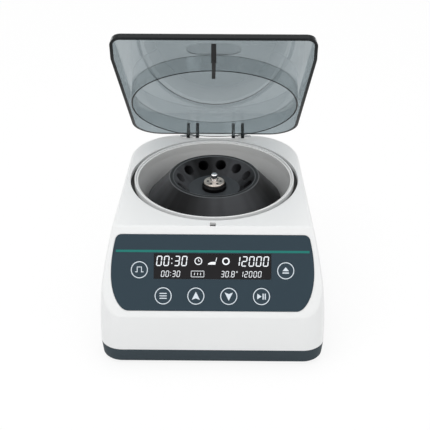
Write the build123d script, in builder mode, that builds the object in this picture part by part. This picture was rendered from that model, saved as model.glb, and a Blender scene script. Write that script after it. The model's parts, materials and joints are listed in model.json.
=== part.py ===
"""Bench microtube centrifuge: housing, chamber, twelve-place rotor, drive, latch, lid, controls.

Millimetres. +X is to the right, the control face looks towards -Y and +Z is up. z = 0 is the
plane that the feet stand on. The lid is modelled open, at its rest angle.
"""
from build123d import *
import os
from math import atan2, cos, radians, sin, sqrt

# ---------------------------------------------------------------- driving dimensions
# Housing
case_side_taper = 0.068         # half-width lost per millimetre towards the rear
case_height = 131.5             # top plane above the bench
case_wall = 3.0
front_corner_radius = 22.0
rear_corner_radius = 65.0
shoulder_drop = 97.6            # height over which the side walls lean inwards
shoulder_lean = 10.5
deck_front = 10.8               # top plane left round the chamber opening
deck_rear = 22.5
deck_side = 5.3
top_edge_radius = 3.0
facet_run = 51.7                # sloping control face, horizontal and vertical extent
facet_rise = 75.4

# Base tray and feet
foot_height = 2.5
base_height = 15.8
base_floor = 2.5
base_draft = 2.0
base_edge_radius = 3.0
seam_lip_height = 3.0
seam_lip_thickness = 1.6
seam_clearance = 0.15
foot_radius = 11.0
foot_recess = 1.0
foot_front_x = 84.0
foot_rear_x = 66.0
foot_inset_y = 30.0             # foot centres from the front and rear of the housing

# Fasteners, by thread
m3_radius = 1.5
m3_head_radius = 2.8
m3_head_height = 1.8
m4_radius = 2.0
m4_head_radius = 3.6
m4_head_height = 2.4
screw_cap_height = 0.75         # low heads on the rear inlet
screw_clearance = 0.05

# Chamber
opening_radius = 87.5
groove_width = 4.2
groove_depth = 7.0
groove_floor = 2.0
channel_wall = 2.2
rim_wall = 1.6
rim_rise = 1.0                  # white inner rim above the top plane
bowl_wall = 2.0
bowl_depth = 48.0
bowl_floor_radius = 75.0
bowl_corner_radius = 12.0
bowl_lip_drop = 0.6
bowl_hub_hole = 18.0
bowl_upstand = 5.0
bowl_fit = 0.1
bowl_flange_inset = 1.0         # flange short of the collar's outside
seal_squeeze = 0.4              # left between the lid ring and the seal
seal_side_gap = 0.25

# Rotor
well_count = 12
well_radius = 5.6
well_depth = 38.0
well_tilt = 45.0
well_circle = 36.0              # mouth centres
well_mouth_drop = 3.7           # below the top plane
rotor_turn = 4.5
rotor_rim_radius = 46.7
rotor_rim_rise = 2.8
rotor_lip_width = 3.8
rotor_floor_radius = 26.8
rotor_floor_drop = 11.5
rotor_skirt_radius = 70.0
rotor_skirt_drop = 24.0
rotor_skirt_height = 10.0
rotor_base_thickness = 4.5
rotor_boss_radius = 16.0
rotor_hollow_radius = 30.4      # roof of the hollow over the motor
rotor_bottom_drop = 38.0
hub_radius = 12.7
hub_height = 5.7
nut_radius = 10.8
nut_thickness = 2.0
nut_hole_radius = 0.9
nut_hole_circle = 6.6
nut_hole_count = 6
bolt_radius = 3.65
bolt_rise = 5.0

# Drive
shaft_radius = 4.0
shaft_fit = 0.04
shaft_passage = 2.0             # room round the shaft in the motor's ends
bearing_radius = 11.0
bearing_width = 7.0
motor_radius = 30.0
motor_can_wall = 2.5
motor_spigot_radius = 14.0
motor_spigot_height = 10.0
motor_top_gap = 4.0             # under the chamber bowl
motor_height = 37.0
motor_end_plate = 3.0
magnet_radius = 17.0
air_gap = 0.6
stator_height = 20.0
mount_plate_edge = 8.0          # plate beyond the centres of its rubber mounts
mount_plate_thickness = 3.0
damper_pitch = 36.0             # half pitch of the four rubber mounts
damper_radius = 7.0
damper_height = 6.0
damper_collar = 2.0
damper_neck_radius = 4.6
seal_lip_thickness = 1.5

# Control face
panel_recess = 1.0
panel_thickness = 1.4
panel_fit = 0.15
panel_top_s = 8.6               # distances s run down the slope from the crease
panel_bottom_s = 83.9
panel_wide_s = 47.0
panel_top_inset = 37.2          # panel widths, less than the housing's front width
panel_wide_inset = 26.7
panel_bottom_inset = 62.0
panel_top_corner = 6.5
quarter_turn = 90.0
window_half_width = 58.0
window_top_s = 27.3
window_bottom_s = 52.6
window_fit = 0.1
key_radius = 8.65
key_gap = 0.2
key_proud = 0.15
key_flange = 0.9
key_flange_thickness = 0.8
key_travel = 0.5
key_outer_inset = 28.0          # outer keys and posts, in from the panel's widest line
key_outer_s = 43.6
key_row_s = 69.1
key_row_outer_x = 48.4
key_row_inner_x = 16.2
key_board_depth = 9.0           # component face of the key board behind the slope
board_thickness = 1.6
switch_half = 3.0
key_post_inset = 13.2
key_post_top_s = 30.0
key_post_bottom_s = 77.0
post_radius = 2.6
module_border = 3.2
module_thickness = 5.2

# Hinge and lid
hinge_inset = 14.5              # pin in front of the rear face
lid_open_angle = 49.3
pin_radius = 1.3
pin_fit = 0.06
pin_inner_x = 17.6
pin_outer_x = 39.0
ear_centres = (19.9, 30.0)
ear_thickness = 3.5
ear_radius = 3.2
lug_inner_x = 25.2
lug_outer_x = 28.0
shelf_half_width = 36.4
shelf_drop = 4.4
shelf_front_reach = 4.7         # shelf in front of the pin
shelf_floor = 3.0
lid_rear_a = 4.0                # distances a run forwards from the hinge pin
lid_front_reach = 33.7          # places on the lid in front of the housing's crease
lid_bend_reach = 3.2
lid_rim_h = 0.6                 # heights h are above the closed lid's hinge plane
lid_visor_h = 10.4
lid_top_h = 15.4
lid_ceiling = 3.0
lid_wall = 3.3
lid_overhang = 1.1
lid_rear_corner = 32.0
lid_front_corner = 10.0
lid_edge_radius = 2.4
ring_outer_radius = 86.6
ring_wall = 1.6
ring_drop = 4.7
crown_setback = 17.5            # behind the lid's front
crown_half_width = 73.0
crown_half_length = 153.0
crown_depth = 0.8
badge_setback = 33.5
badge_half_length = 12.0
badge_half_width = 27.0
badge_depth = 0.6
tongue_width = 5.0
tongue_tip_width = 3.6
tongue_setback = 5.8            # behind the crease
tongue_depth = 4.6
tongue_base_reach = 14.0
tongue_base_length = 11.8
tongue_drop = 16.7
notch_top_h = -11.0
notch_height = 3.8
notch_depth = 2.5

# Latch
slot_half_width = 3.0
slot_front_gap = 0.9
slot_rear_gap = 0.9
bolt_travel = 5.4
bolt_play = 0.3
latch_wall = 2.4
latch_left_x = 12.0
latch_right_x = 30.0
latch_height = 17.0
latch_drop = 0.4                # under the chamber channel
latch_screw_offset = 2.9        # in front of the slot's middle
latch_post_radius = 2.5
solenoid_length = 24.0
solenoid_height = 11.0
solenoid_depth = 11.0
plunger_radius = 2.2
plunger_length = 32.0
blade_length = 11.6
switch_block_half = 6.0
switch_block_height = 6.4

# Rear connections
inlet_x = -21.0
rocker_x = 24.0
connector_z = 50.0
inlet_flange_width = 48.0
inlet_flange_height = 22.5
inlet_flange_thickness = 2.0
inlet_body_width = 27.0
inlet_body_height = 19.6
inlet_body_depth = 20.0
inlet_cavity_width = 23.0
inlet_cavity_height = 15.5
inlet_cavity_depth = 16.0
inlet_cavity_chamfer = 4.0
inlet_screw_pitch = 20.0
inlet_pin_width = 2.0
inlet_pin_height = 4.0
inlet_pin_pitch = 7.0
inlet_pin_length = 13.0
inlet_earth_rise = 4.0
panel_hole_fit = 0.2
rocker_frame_width = 15.0
rocker_frame_height = 21.0
rocker_frame_flange = 1.6
rocker_body_width = 12.8
rocker_body_height = 19.0
rocker_body_depth = 17.0
rocker_width = 9.6
rocker_radius = 8.0
rocker_gap = 0.3
rocker_tilt = 8.0
vent_count = 13
vent_pitch = 6.0
vent_width = 2.6
vent_height = 20.0
vent_z = 93.0
floor_vent_count = 9

# Boards
supply_width = 108.0
supply_depth = 42.0
supply_inset = 36.0             # board centres from the rear and front of the housing
supply_height = 26.0
control_width = 150.0
control_depth = 40.0
control_inset = 31.0
standoff_height = 6.0
standoff_radius = 3.0

# ---------------------------------------------------------------- derived places
case_depth = facet_run + deck_front + 2 * opening_radius + deck_rear
chamber_setback = facet_run + deck_front + opening_radius
chamber_half = opening_radius + deck_side + shoulder_lean
case_front_width = 2 * (chamber_half + case_side_taper * chamber_setback)
rear_reach = inlet_flange_thickness + screw_cap_height
y_front = -(case_depth + rear_reach) / 2
y_rear = y_front + case_depth
chamber_y = y_front + chamber_setback
hinge_y = y_rear - hinge_inset
shelf_front_y = hinge_y - shelf_front_reach
supply_y = y_rear - supply_inset
control_y = y_front + control_inset
seam_z = foot_height + base_height
floor_z = foot_height + base_floor
crease_y = y_front + facet_run
crease_a = hinge_y - crease_y
lid_front_a = crease_a + lid_front_reach
lid_bend_a = crease_a + lid_bend_reach
crown_center_a = lid_front_a - crown_setback
badge_center_a = lid_front_a - badge_setback
tongue_rear_a = crease_a - tongue_setback
tongue_base_a = crease_a + tongue_base_reach
tongue_base_rear_a = tongue_base_a - tongue_base_length
panel_top_width = case_front_width - panel_top_inset
panel_wide_width = case_front_width - panel_wide_inset
panel_bottom_width = case_front_width - panel_bottom_inset
key_outer_x = panel_wide_width / 2 - key_outer_inset
key_post_x = panel_wide_width / 2 - key_post_inset
seal_thickness = groove_depth - ring_drop - seal_squeeze
facet_angle = atan2(facet_rise, facet_run)
shoulder_z = case_height - shoulder_drop
shoulder_radius = (shoulder_drop**2 + shoulder_lean**2) / (2 * shoulder_lean)

rim_outer_radius = opening_radius - groove_width
rim_inner_radius = rim_outer_radius - rim_wall
groove_z = case_height - groove_depth
channel_z = groove_z - groove_floor
bowl_floor_z = case_height - bowl_depth

facet = Plane(origin=(0, crease_y, case_height), x_dir=(1, 0, 0),
              z_dir=(0, -sin(facet_angle), cos(facet_angle)))
chamber = Plane(origin=(0, chamber_y, 0), x_dir=(1, 0, 0), z_dir=(0, -1, 0))
spin_center = (0, chamber_y)
spin_axis = Axis((0, chamber_y, 0), (0, 0, 1))
chamber_top = Plane(origin=(0, chamber_y, case_height), z_dir=(0, 0, 1))

open_angle = radians(lid_open_angle)
lid_forward = Vector(0, -cos(open_angle), sin(open_angle))
lid_up = Vector(0, sin(open_angle), cos(open_angle))
lid_plan = Plane(origin=(0, hinge_y, case_height), x_dir=(1, 0, 0), z_dir=lid_up)
lid_side = Plane(origin=(0, hinge_y, case_height), x_dir=lid_forward, z_dir=(-1, 0, 0))
rear_face = Plane(origin=(0, y_rear, connector_z), x_dir=(-1, 0, 0), z_dir=(0, 1, 0))

os.makedirs("parts", exist_ok=True)


def finish(builder, name):
    """Label a finished piece and write its STEP file."""
    builder.part.label = name
    export_step(builder.part, f"parts/{name}.step")


# ---------------------------------------------------------------- housing
def half_width(y):
    """Half of the housing's width below its shoulder, at depth y."""
    return case_front_width / 2 - case_side_taper * (y - y_front)


def lean_at(z):
    """How far the side walls have leaned inwards at height z."""
    rise = max(0.0, z - shoulder_z)
    return shoulder_radius - sqrt(shoulder_radius**2 - rise**2)


def plan_section(z, inset):
    """The housing's rounded plan at height z, set in by inset."""
    near, far = y_front + inset, y_rear - inset
    near_half, far_half = half_width(near) - inset, half_width(far) - inset
    with BuildSketch(Plane.XY.offset(z)) as section:
        with BuildLine():
            Polyline((-near_half, near), (near_half, near), (far_half, far), (-far_half, far),
                     close=True)
        make_face()
        fillet(section.vertices().group_by(Axis.Y)[0], front_corner_radius - inset)
        fillet(section.vertices().group_by(Axis.Y)[-1], rear_corner_radius - inset)
    return section.sketch


def housing_form(bottom_z, top_z, inset):
    """The housing's form between two heights, set in by inset all round."""
    climb = top_z - shoulder_z
    levels = [shoulder_z + climb * share for share in (0.0, 0.4, 0.75, 1.0)]
    with BuildPart() as form:
        extrude(plan_section(bottom_z, inset), amount=shoulder_z - bottom_z)
        loft([plan_section(z, inset + lean_at(z)) for z in levels])
        split(bisect_by=facet.offset(-inset), keep=Keep.BOTTOM)
    return form.part


def round_post(center, bottom_z, top_z, radius):
    """An upright round boss between two heights."""
    with BuildPart() as post:
        with BuildSketch(Plane.XY.offset(bottom_z)):
            with Locations(center):
                Circle(radius)
        extrude(amount=top_z - bottom_z)
    return post.part


def slope_point(x, s):
    """Sketch point on the control face, s millimetres down the slope from the crease."""
    return (x, -s)


boss_radius = m3_radius + case_wall
boss_front_y = y_front + front_corner_radius + 2 * boss_radius
boss_rear_y = y_rear - rear_corner_radius - 2 * boss_radius
case_bosses = [
    (side * (half_width(y) - case_wall - boss_radius + screw_clearance * 4), y)
    for y in (boss_front_y, boss_rear_y)
    for side in (-1, 1)
]
boss_top_z = seam_z + 4 * boss_radius
key_posts = [
    slope_point(side * key_post_x, s)
    for s in (key_post_top_s, key_post_bottom_s)
    for side in (-1, 1)
]
key_places = {
    "key_pulse": (-key_outer_x, key_outer_s),
    "key_open": (key_outer_x, key_outer_s),
    "key_menu": (-key_row_outer_x, key_row_s),
    "key_up": (-key_row_inner_x, key_row_s),
    "key_down": (key_row_inner_x, key_row_s),
    "key_start": (key_row_outer_x, key_row_s),
}
key_points = [slope_point(x, s) for x, s in key_places.values()]
key_hole_radius = key_radius + key_gap
window_height = window_bottom_s - window_top_s
window_point = slope_point(0, (window_top_s + window_bottom_s) / 2)


def panel_outline(depth, grow):
    """The control panel's outline on the slope at a depth, grown by a clearance."""
    wide_half = panel_wide_width / 2 + grow
    corner_run = (panel_wide_width - panel_bottom_width) / 2
    top_s, bottom_s = panel_top_s - grow, panel_bottom_s + grow
    with BuildSketch(facet.offset(-depth)) as outline:
        with BuildLine():
            side = Bezier(
                slope_point(panel_top_width / 2 + grow, top_s),
                slope_point(wide_half, (panel_top_s + panel_wide_s) / 2),
                slope_point(wide_half, panel_wide_s),
            )
            corner = EllipticalCenterArc(
                slope_point(wide_half - corner_run, panel_wide_s),
                corner_run,
                bottom_s - panel_wide_s,
                start_angle=-quarter_turn,
                arc_size=quarter_turn,
            )
            Line(corner @ 0, (0, -bottom_s))
            Line(side @ 0, (0, -top_s))
            mirror(about=Plane.YZ)
        make_face()
        fillet(outline.vertices().group_by(Axis.Y)[-1], panel_top_corner)
    return outline.sketch


slot_y = hinge_y - tongue_rear_a - tongue_depth / 2
slot_half_length = tongue_depth / 2 + slot_front_gap
latch_screw_y = slot_y - latch_screw_offset
latch_posts = [
    (-latch_left_x + boss_radius, latch_screw_y),
    (latch_right_x - boss_radius, latch_screw_y),
]
latch_top_z = channel_z - latch_drop

with BuildPart() as upper_case:
    add(housing_form(seam_z, case_height, 0))
    top_face = upper_case.faces().filter_by(Axis.Z).sort_by(Axis.Z)[-1]
    slope_face = upper_case.faces().filter_by(Axis(facet.origin, facet.z_dir))[-1]
    fillet(top_face.edges() + slope_face.edges(), top_edge_radius)
    add(housing_form(seam_z, case_height - case_wall, case_wall), mode=Mode.SUBTRACT)
    # thicker floor under the hinge shelf, then the shelf itself
    with BuildSketch(Plane.XY.offset(case_height - shelf_drop - shelf_floor)):
        with Locations((0, (shelf_front_y + y_rear - shoulder_lean) / 2 - case_wall)):
            Rectangle(2 * (pin_outer_x + case_wall), y_rear - shoulder_lean - shelf_front_y)
    extrude(amount=shelf_drop + shelf_floor - top_edge_radius)
    # chamber opening, and room under the top plate for the collar
    add(round_post(spin_center, channel_z, case_height, opening_radius), mode=Mode.SUBTRACT)
    add(round_post(spin_center, channel_z, case_height - case_wall,
                   opening_radius + channel_wall + screw_clearance), mode=Mode.SUBTRACT)
    # hinge shelf with the two lugs that hold the pins
    with BuildSketch(Plane.XY.offset(case_height - shelf_drop)):
        with Locations((0, shelf_front_y + (y_rear - shelf_front_y) / 2)):
            Rectangle(2 * shelf_half_width, y_rear - shelf_front_y)
    extrude(amount=shelf_drop + rim_rise, mode=Mode.SUBTRACT)
    for side in (-1, 1):
        with BuildSketch(Plane.YZ.offset(side * (lug_inner_x + lug_outer_x) / 2)):
            with Locations((hinge_y, case_height)):
                Circle(ear_radius)
            with Locations((hinge_y, case_height - shelf_drop / 2)):
                Rectangle(2 * ear_radius, shelf_drop)
        extrude(amount=(lug_outer_x - lug_inner_x) / 2, both=True)
    with BuildSketch(Plane.YZ):
        with Locations((hinge_y, case_height)):
            Circle(pin_radius + screw_clearance)
    extrude(amount=pin_outer_x, both=True, mode=Mode.SUBTRACT)
    # latch slot
    with BuildSketch(Plane.XY.offset(case_height)):
        with Locations((0, slot_y)):
            RectangleRounded(2 * slot_half_width, 2 * slot_half_length, slot_half_width / 3)
    extrude(amount=-2 * case_wall, mode=Mode.SUBTRACT)
    # recess, window and key holes in the control face
    extrude(panel_outline(0, panel_fit), amount=-panel_recess, mode=Mode.SUBTRACT)
    with BuildSketch(facet):
        with Locations(window_point):
            Rectangle(2 * (window_half_width - module_border), window_height - module_border)
        with Locations(*key_points):
            Circle(key_hole_radius)
    extrude(amount=-case_wall, mode=Mode.SUBTRACT)
    # posts that carry the key board, bosses for the latch and for the base screws
    with BuildSketch(facet.offset(-case_wall)):
        with Locations(*key_posts):
            Circle(post_radius)
    extrude(amount=case_wall - key_board_depth)
    with BuildSketch(facet.offset(-key_board_depth)):
        with Locations(*key_posts):
            Circle(m3_radius * 0.5 + screw_clearance)
    extrude(amount=key_board_depth - case_wall, mode=Mode.SUBTRACT)
    for post in latch_posts:
        add(round_post(post, latch_top_z, case_height - case_wall, latch_post_radius))
        add(round_post(post, latch_top_z, latch_top_z + case_wall + bolt_play,
                       m3_radius + screw_clearance), mode=Mode.SUBTRACT)
    for boss in case_bosses:
        add(round_post(boss, seam_z, boss_top_z, boss_radius))
    with BuildSketch(Plane.XY.offset(seam_z)):
        with Locations(*case_bosses):
            Circle(m3_radius + screw_clearance)
    extrude(amount=boss_top_z - seam_z - case_wall, mode=Mode.SUBTRACT)
    # rear wall: mains inlet, switch and cooling slots
    with BuildSketch(rear_face):
        with Locations((-inlet_x, 0)):
            Rectangle(inlet_body_width + panel_hole_fit, inlet_body_height + panel_hole_fit)
        with Locations((-rocker_x, 0)):
            Rectangle(rocker_body_width + panel_hole_fit, rocker_body_height + panel_hole_fit)
        with Locations((-inlet_x - inlet_screw_pitch, 0), (-inlet_x + inlet_screw_pitch, 0)):
            Circle(m3_radius + screw_clearance)
        with GridLocations(vent_pitch, 0, vent_count, 1):
            with Locations((0, vent_z - connector_z)):
                SlotOverall(vent_height, vent_width, rotation=90)
    extrude(amount=-shoulder_lean - 2 * case_wall, mode=Mode.SUBTRACT)
finish(upper_case, "upper_case")

with BuildPart() as chamber_collar:
    with BuildSketch(chamber):
        with BuildLine():
            Polyline(
                (opening_radius, case_height - case_wall),
                (opening_radius + channel_wall, case_height - case_wall),
                (opening_radius + channel_wall, channel_z),
                (rim_inner_radius, channel_z),
                (rim_inner_radius, case_height + rim_rise),
                (rim_outer_radius, case_height + rim_rise),
                (rim_outer_radius, groove_z),
                (opening_radius, groove_z),
                close=True,
            )
        make_face()
    revolve(axis=spin_axis)
    rim_edges = chamber_collar.edges().filter_by(GeomType.CIRCLE).group_by(Axis.Z)[-1]
    chamfer(rim_edges, rim_wall / 4)
finish(chamber_collar, "chamber_collar")

# ---------------------------------------------------------------- base tray
def board_corners(center_y, width, depth):
    """Standoff places near the four corners of a board."""
    reach_x, reach_y = width / 2 - 2 * standoff_radius, depth / 2 - 2 * standoff_radius
    return [(x * reach_x, center_y + y * reach_y) for x in (-1, 1) for y in (-1, 1)]


feet = [
    (side * x, y)
    for x, y in ((foot_front_x, y_front + foot_inset_y), (foot_rear_x, y_rear - foot_inset_y))
    for side in (-1, 1)
]
damper_points = [
    (x, chamber_y + y) for x in (-damper_pitch, damper_pitch) for y in (-damper_pitch, damper_pitch)
]
bowl_under_z = bowl_floor_z - bowl_wall / 2
motor_top_z = bowl_under_z - motor_top_gap
motor_bottom_z = motor_top_z - motor_height
mount_z = motor_bottom_z - mount_plate_thickness
damper_z = mount_z - damper_height
board_z = floor_z + standoff_height
supply_posts = board_corners(supply_y, supply_width, supply_depth)
control_posts = board_corners(control_y, control_width, control_depth)

lip_inset = case_wall + seam_clearance
tray_inset = lip_inset + seam_lip_thickness

with BuildPart() as base_tray:
    loft([plan_section(foot_height, base_draft), plan_section(seam_z, 0)])
    fillet(base_tray.faces().sort_by(Axis.Z)[0].edges(), base_edge_radius)
    extrude(plan_section(seam_z, lip_inset), amount=seam_lip_height)
    extrude(plan_section(floor_z, tray_inset), amount=base_height + seam_lip_height,
            mode=Mode.SUBTRACT)
    for boss in case_bosses:
        add(round_post(boss, foot_height + base_floor / 2, seam_z, boss_radius))
        add(round_post(boss, seam_z, boss_top_z, boss_radius + seam_clearance),
            mode=Mode.SUBTRACT)
    for post in supply_posts + control_posts:
        add(round_post(post, foot_height + base_floor / 2, board_z, standoff_radius))
    for post in damper_points:
        add(round_post(post, foot_height + base_floor / 2, damper_z, damper_radius))
    for foot in feet:
        add(round_post(foot, foot_height + base_floor / 2, floor_z + 2 * base_floor, boss_radius))
    # screw holes from below, and the recesses that the feet sit in
    with BuildSketch(Plane.XY.offset(foot_height)):
        with Locations(*case_bosses):
            Circle(m3_radius + screw_clearance)
    extrude(amount=base_height, mode=Mode.SUBTRACT)
    with BuildSketch(Plane.XY.offset(foot_height)):
        with Locations(*case_bosses):
            Circle(m3_head_radius + 4 * screw_clearance)
    extrude(amount=m3_head_height + base_floor, mode=Mode.SUBTRACT)
    with BuildSketch(Plane.XY.offset(foot_height)):
        with Locations(*feet):
            Circle(foot_radius + screw_clearance)
    extrude(amount=foot_recess, mode=Mode.SUBTRACT)
    with BuildSketch(Plane.XY.offset(foot_height)):
        with Locations(*feet):
            Circle(m3_radius + screw_clearance)
    extrude(amount=base_floor + 2 * case_wall, mode=Mode.SUBTRACT)
    with BuildSketch(Plane.XY.offset(damper_z)):
        with Locations(*damper_points):
            Circle(m4_radius + screw_clearance)
    extrude(amount=-2 * damper_height, mode=Mode.SUBTRACT)
    with BuildSketch(Plane.XY.offset(board_z)):
        with Locations(*supply_posts, *control_posts):
            Circle(m3_radius + screw_clearance)
    extrude(amount=-standoff_height, mode=Mode.SUBTRACT)
    # cooling slots under the motor
    with BuildSketch(Plane.XY.offset(foot_height)):
        with Locations((0, chamber_y)):
            with GridLocations(vent_pitch, 0, floor_vent_count, 1):
                SlotOverall(2 * vent_height, vent_width, rotation=90)
    extrude(amount=base_floor, mode=Mode.SUBTRACT)
finish(base_tray, "base_tray")

foot_hole_radius = m3_head_radius + 4 * screw_clearance
with BuildPart() as rubber_feet:
    for foot in feet:
        add(round_post(foot, 0, foot_height + foot_recess, foot_radius))
    chamfer(rubber_feet.edges().filter_by(GeomType.CIRCLE).group_by(Axis.Z)[0], foot_recess)
    for foot in feet:
        add(round_post(foot, 0, m3_head_height, foot_hole_radius), mode=Mode.SUBTRACT)
        add(round_post(foot, 0, case_height, m3_radius + screw_clearance), mode=Mode.SUBTRACT)
finish(rubber_feet, "rubber_feet")


def pan_screws(places, head_z, length, radius, head_radius, head_height):
    """Pan-head screws pointing up, their heads just under head_z."""
    with BuildPart() as screws:
        for place in places:
            add(round_post(place, head_z, head_z + length, radius))
            add(round_post(place, head_z - head_height, head_z, head_radius))
        chamfer(screws.edges().filter_by(GeomType.CIRCLE).group_by(Axis.Z)[0], head_height / 3)
    return screws


foot_screws = pan_screws(feet, m3_head_height, floor_z + case_wall, m3_radius, m3_head_radius,
                         m3_head_height * 0.7)
finish(foot_screws, "foot_screws")
case_screws = pan_screws(case_bosses, foot_height + m3_head_height + base_floor,
                         boss_top_z - seam_z, m3_radius, m3_head_radius, m3_head_height)
finish(case_screws, "case_screws")

# ---------------------------------------------------------------- chamber
bowl_outer_radius = rim_inner_radius - bowl_fit
bowl_flange_radius = opening_radius + channel_wall - bowl_flange_inset
bowl_line_radius = bowl_outer_radius - bowl_wall / 2
bowl_flange_z = channel_z - bowl_wall
with BuildPart() as chamber_bowl:
    with BuildSketch(chamber):
        with BuildLine():
            FilletPolyline(
                (bowl_hub_hole, bowl_floor_z + bowl_upstand),
                (bowl_hub_hole, bowl_floor_z - bowl_wall / 2),
                (bowl_floor_radius, bowl_floor_z - bowl_wall / 2),
                (bowl_line_radius, channel_z),
                (bowl_line_radius, case_height - bowl_lip_drop),
                radius=[bowl_wall, bowl_corner_radius, bowl_corner_radius],
            )
        trace(line_width=bowl_wall)
        with BuildLine():
            Polyline(
                (bowl_line_radius, bowl_flange_z),
                (bowl_flange_radius, bowl_flange_z),
                (bowl_flange_radius, channel_z),
                (bowl_line_radius, channel_z),
                close=True,
            )
        make_face()
    revolve(axis=spin_axis)
finish(chamber_bowl, "chamber_bowl")

with BuildPart() as lid_seal:
    with BuildSketch(chamber):
        with Locations(((rim_outer_radius + opening_radius) / 2, groove_z + seal_thickness / 2)):
            Rectangle(groove_width - 2 * seal_side_gap, seal_thickness)
    revolve(axis=spin_axis)
finish(lid_seal, "lid_seal")

# ---------------------------------------------------------------- drive
spigot_z = motor_top_z + motor_spigot_height
upper_bearing_z = spigot_z - bearing_width - motor_end_plate / 2
lower_bearing_z = motor_bottom_z + motor_end_plate / 2
can_floor_z = lower_bearing_z + bearing_width + motor_end_plate / 6
can_roof_z = motor_top_z - motor_end_plate
stator_z = (can_floor_z + can_roof_z - stator_height) / 2
shaft_hole_radius = shaft_radius + shaft_passage
can_inner_radius = motor_radius - motor_can_wall
rotor_seat_z = case_height - rotor_floor_drop
hub_top_z = rotor_seat_z + hub_height
nut_top_z = hub_top_z + nut_thickness


def ring(inner, outer, bottom_z, top_z):
    """A ring about the spin axis."""
    with BuildPart() as piece:
        with BuildSketch(Plane.XY.offset(bottom_z)):
            with Locations((0, chamber_y)):
                Circle(outer)
                Circle(inner, mode=Mode.SUBTRACT)
        extrude(amount=top_z - bottom_z)
    return piece.part


with BuildPart() as motor_housing:
    add(ring(shaft_hole_radius, motor_radius, motor_bottom_z, motor_top_z))
    add(ring(shaft_hole_radius, motor_spigot_radius, motor_top_z, spigot_z))
    add(ring(0.5 * shaft_hole_radius, can_inner_radius, can_floor_z, can_roof_z),
        mode=Mode.SUBTRACT)
    add(ring(0.5 * shaft_hole_radius, bearing_radius + shaft_fit, upper_bearing_z, spigot_z),
        mode=Mode.SUBTRACT)
    add(ring(0.5 * shaft_hole_radius, bearing_radius + shaft_fit, lower_bearing_z, can_floor_z),
        mode=Mode.SUBTRACT)
finish(motor_housing, "motor_housing")

with BuildPart() as motor_bearings:
    for bottom_z in (lower_bearing_z, upper_bearing_z):
        add(ring(shaft_radius + shaft_fit, bearing_radius, bottom_z, bottom_z + bearing_width))
finish(motor_bearings, "motor_bearings")

with BuildPart() as motor_stator:
    with BuildSketch(Plane.XY.offset(stator_z)):
        with Locations((0, chamber_y)):
            Circle(can_inner_radius - shaft_fit)
            Circle(magnet_radius + air_gap, mode=Mode.SUBTRACT)
            with PolarLocations((can_inner_radius + magnet_radius) / 2, 6):
                SlotOverall(can_inner_radius - magnet_radius - motor_end_plate, motor_end_plate,
                            mode=Mode.SUBTRACT)
    extrude(amount=stator_height)
finish(motor_stator, "motor_stator")

with BuildPart() as motor_magnets:
    add(ring(shaft_radius, magnet_radius, stator_z, stator_z + stator_height))
finish(motor_magnets, "motor_magnets")

with BuildPart() as motor_shaft:
    with BuildSketch(Plane.XY.offset(lower_bearing_z + bolt_play)):
        with Locations((0, chamber_y)):
            Circle(shaft_radius)
    extrude(amount=hub_top_z - lower_bearing_z - bolt_play)
    chamfer(motor_shaft.edges().filter_by(GeomType.CIRCLE).group_by(Axis.Z)[0], shaft_radius / 8)
    add(round_post(spin_center, hub_top_z - 3 * m4_radius, hub_top_z, m4_radius),
        mode=Mode.SUBTRACT)
finish(motor_shaft, "motor_shaft")

mount_plate_half = damper_pitch + mount_plate_edge
with BuildPart() as motor_mount:
    with BuildSketch(Plane.XY.offset(mount_z)):
        with Locations((0, chamber_y)):
            RectangleRounded(2 * mount_plate_half, 2 * mount_plate_half, damper_radius)
            Circle(bearing_radius, mode=Mode.SUBTRACT)
        with Locations(*damper_points):
            Circle(damper_neck_radius + screw_clearance, mode=Mode.SUBTRACT)
    extrude(amount=mount_plate_thickness)
finish(motor_mount, "motor_mount")

damper_top_z = mount_z + mount_plate_thickness + damper_collar
with BuildPart() as motor_dampers:
    for point in damper_points:
        add(round_post(point, damper_z, mount_z, damper_radius))
        add(round_post(point, mount_z, damper_top_z, damper_neck_radius))
        add(round_post(point, mount_z + mount_plate_thickness, damper_top_z, damper_radius))
        add(round_post(point, damper_z, damper_top_z, m4_radius + screw_clearance),
            mode=Mode.SUBTRACT)
finish(motor_dampers, "motor_dampers")

with BuildPart() as damper_screws:
    for point in damper_points:
        add(round_post(point, damper_z - damper_height, damper_top_z, m4_radius))
        add(round_post(point, damper_top_z, damper_top_z + m4_head_height, m4_head_radius))
finish(damper_screws, "damper_screws")

seal_lip_z = bowl_floor_z + bowl_upstand + screw_clearance
with BuildPart() as shaft_seal:
    add(ring(motor_spigot_radius + screw_clearance, bowl_hub_hole - bowl_wall / 2 - screw_clearance,
             bowl_under_z, seal_lip_z))
    add(ring(motor_spigot_radius + screw_clearance, bowl_hub_hole + bowl_wall / 2,
             seal_lip_z, seal_lip_z + seal_lip_thickness))
finish(shaft_seal, "shaft_seal")

# ---------------------------------------------------------------- rotor
tilt = radians(well_tilt)
well_planes = []
for index in range(well_count):
    turn = radians(rotor_turn + 90 + 360 * (index + 0.5) / well_count)
    outward = Vector(cos(turn), sin(turn), 0)
    mouth = chamber_top.origin + outward * well_circle - Vector(0, 0, well_mouth_drop)
    well_planes.append(Plane(origin=mouth, z_dir=Vector(0, 0, cos(tilt)) - outward * sin(tilt)))

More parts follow.
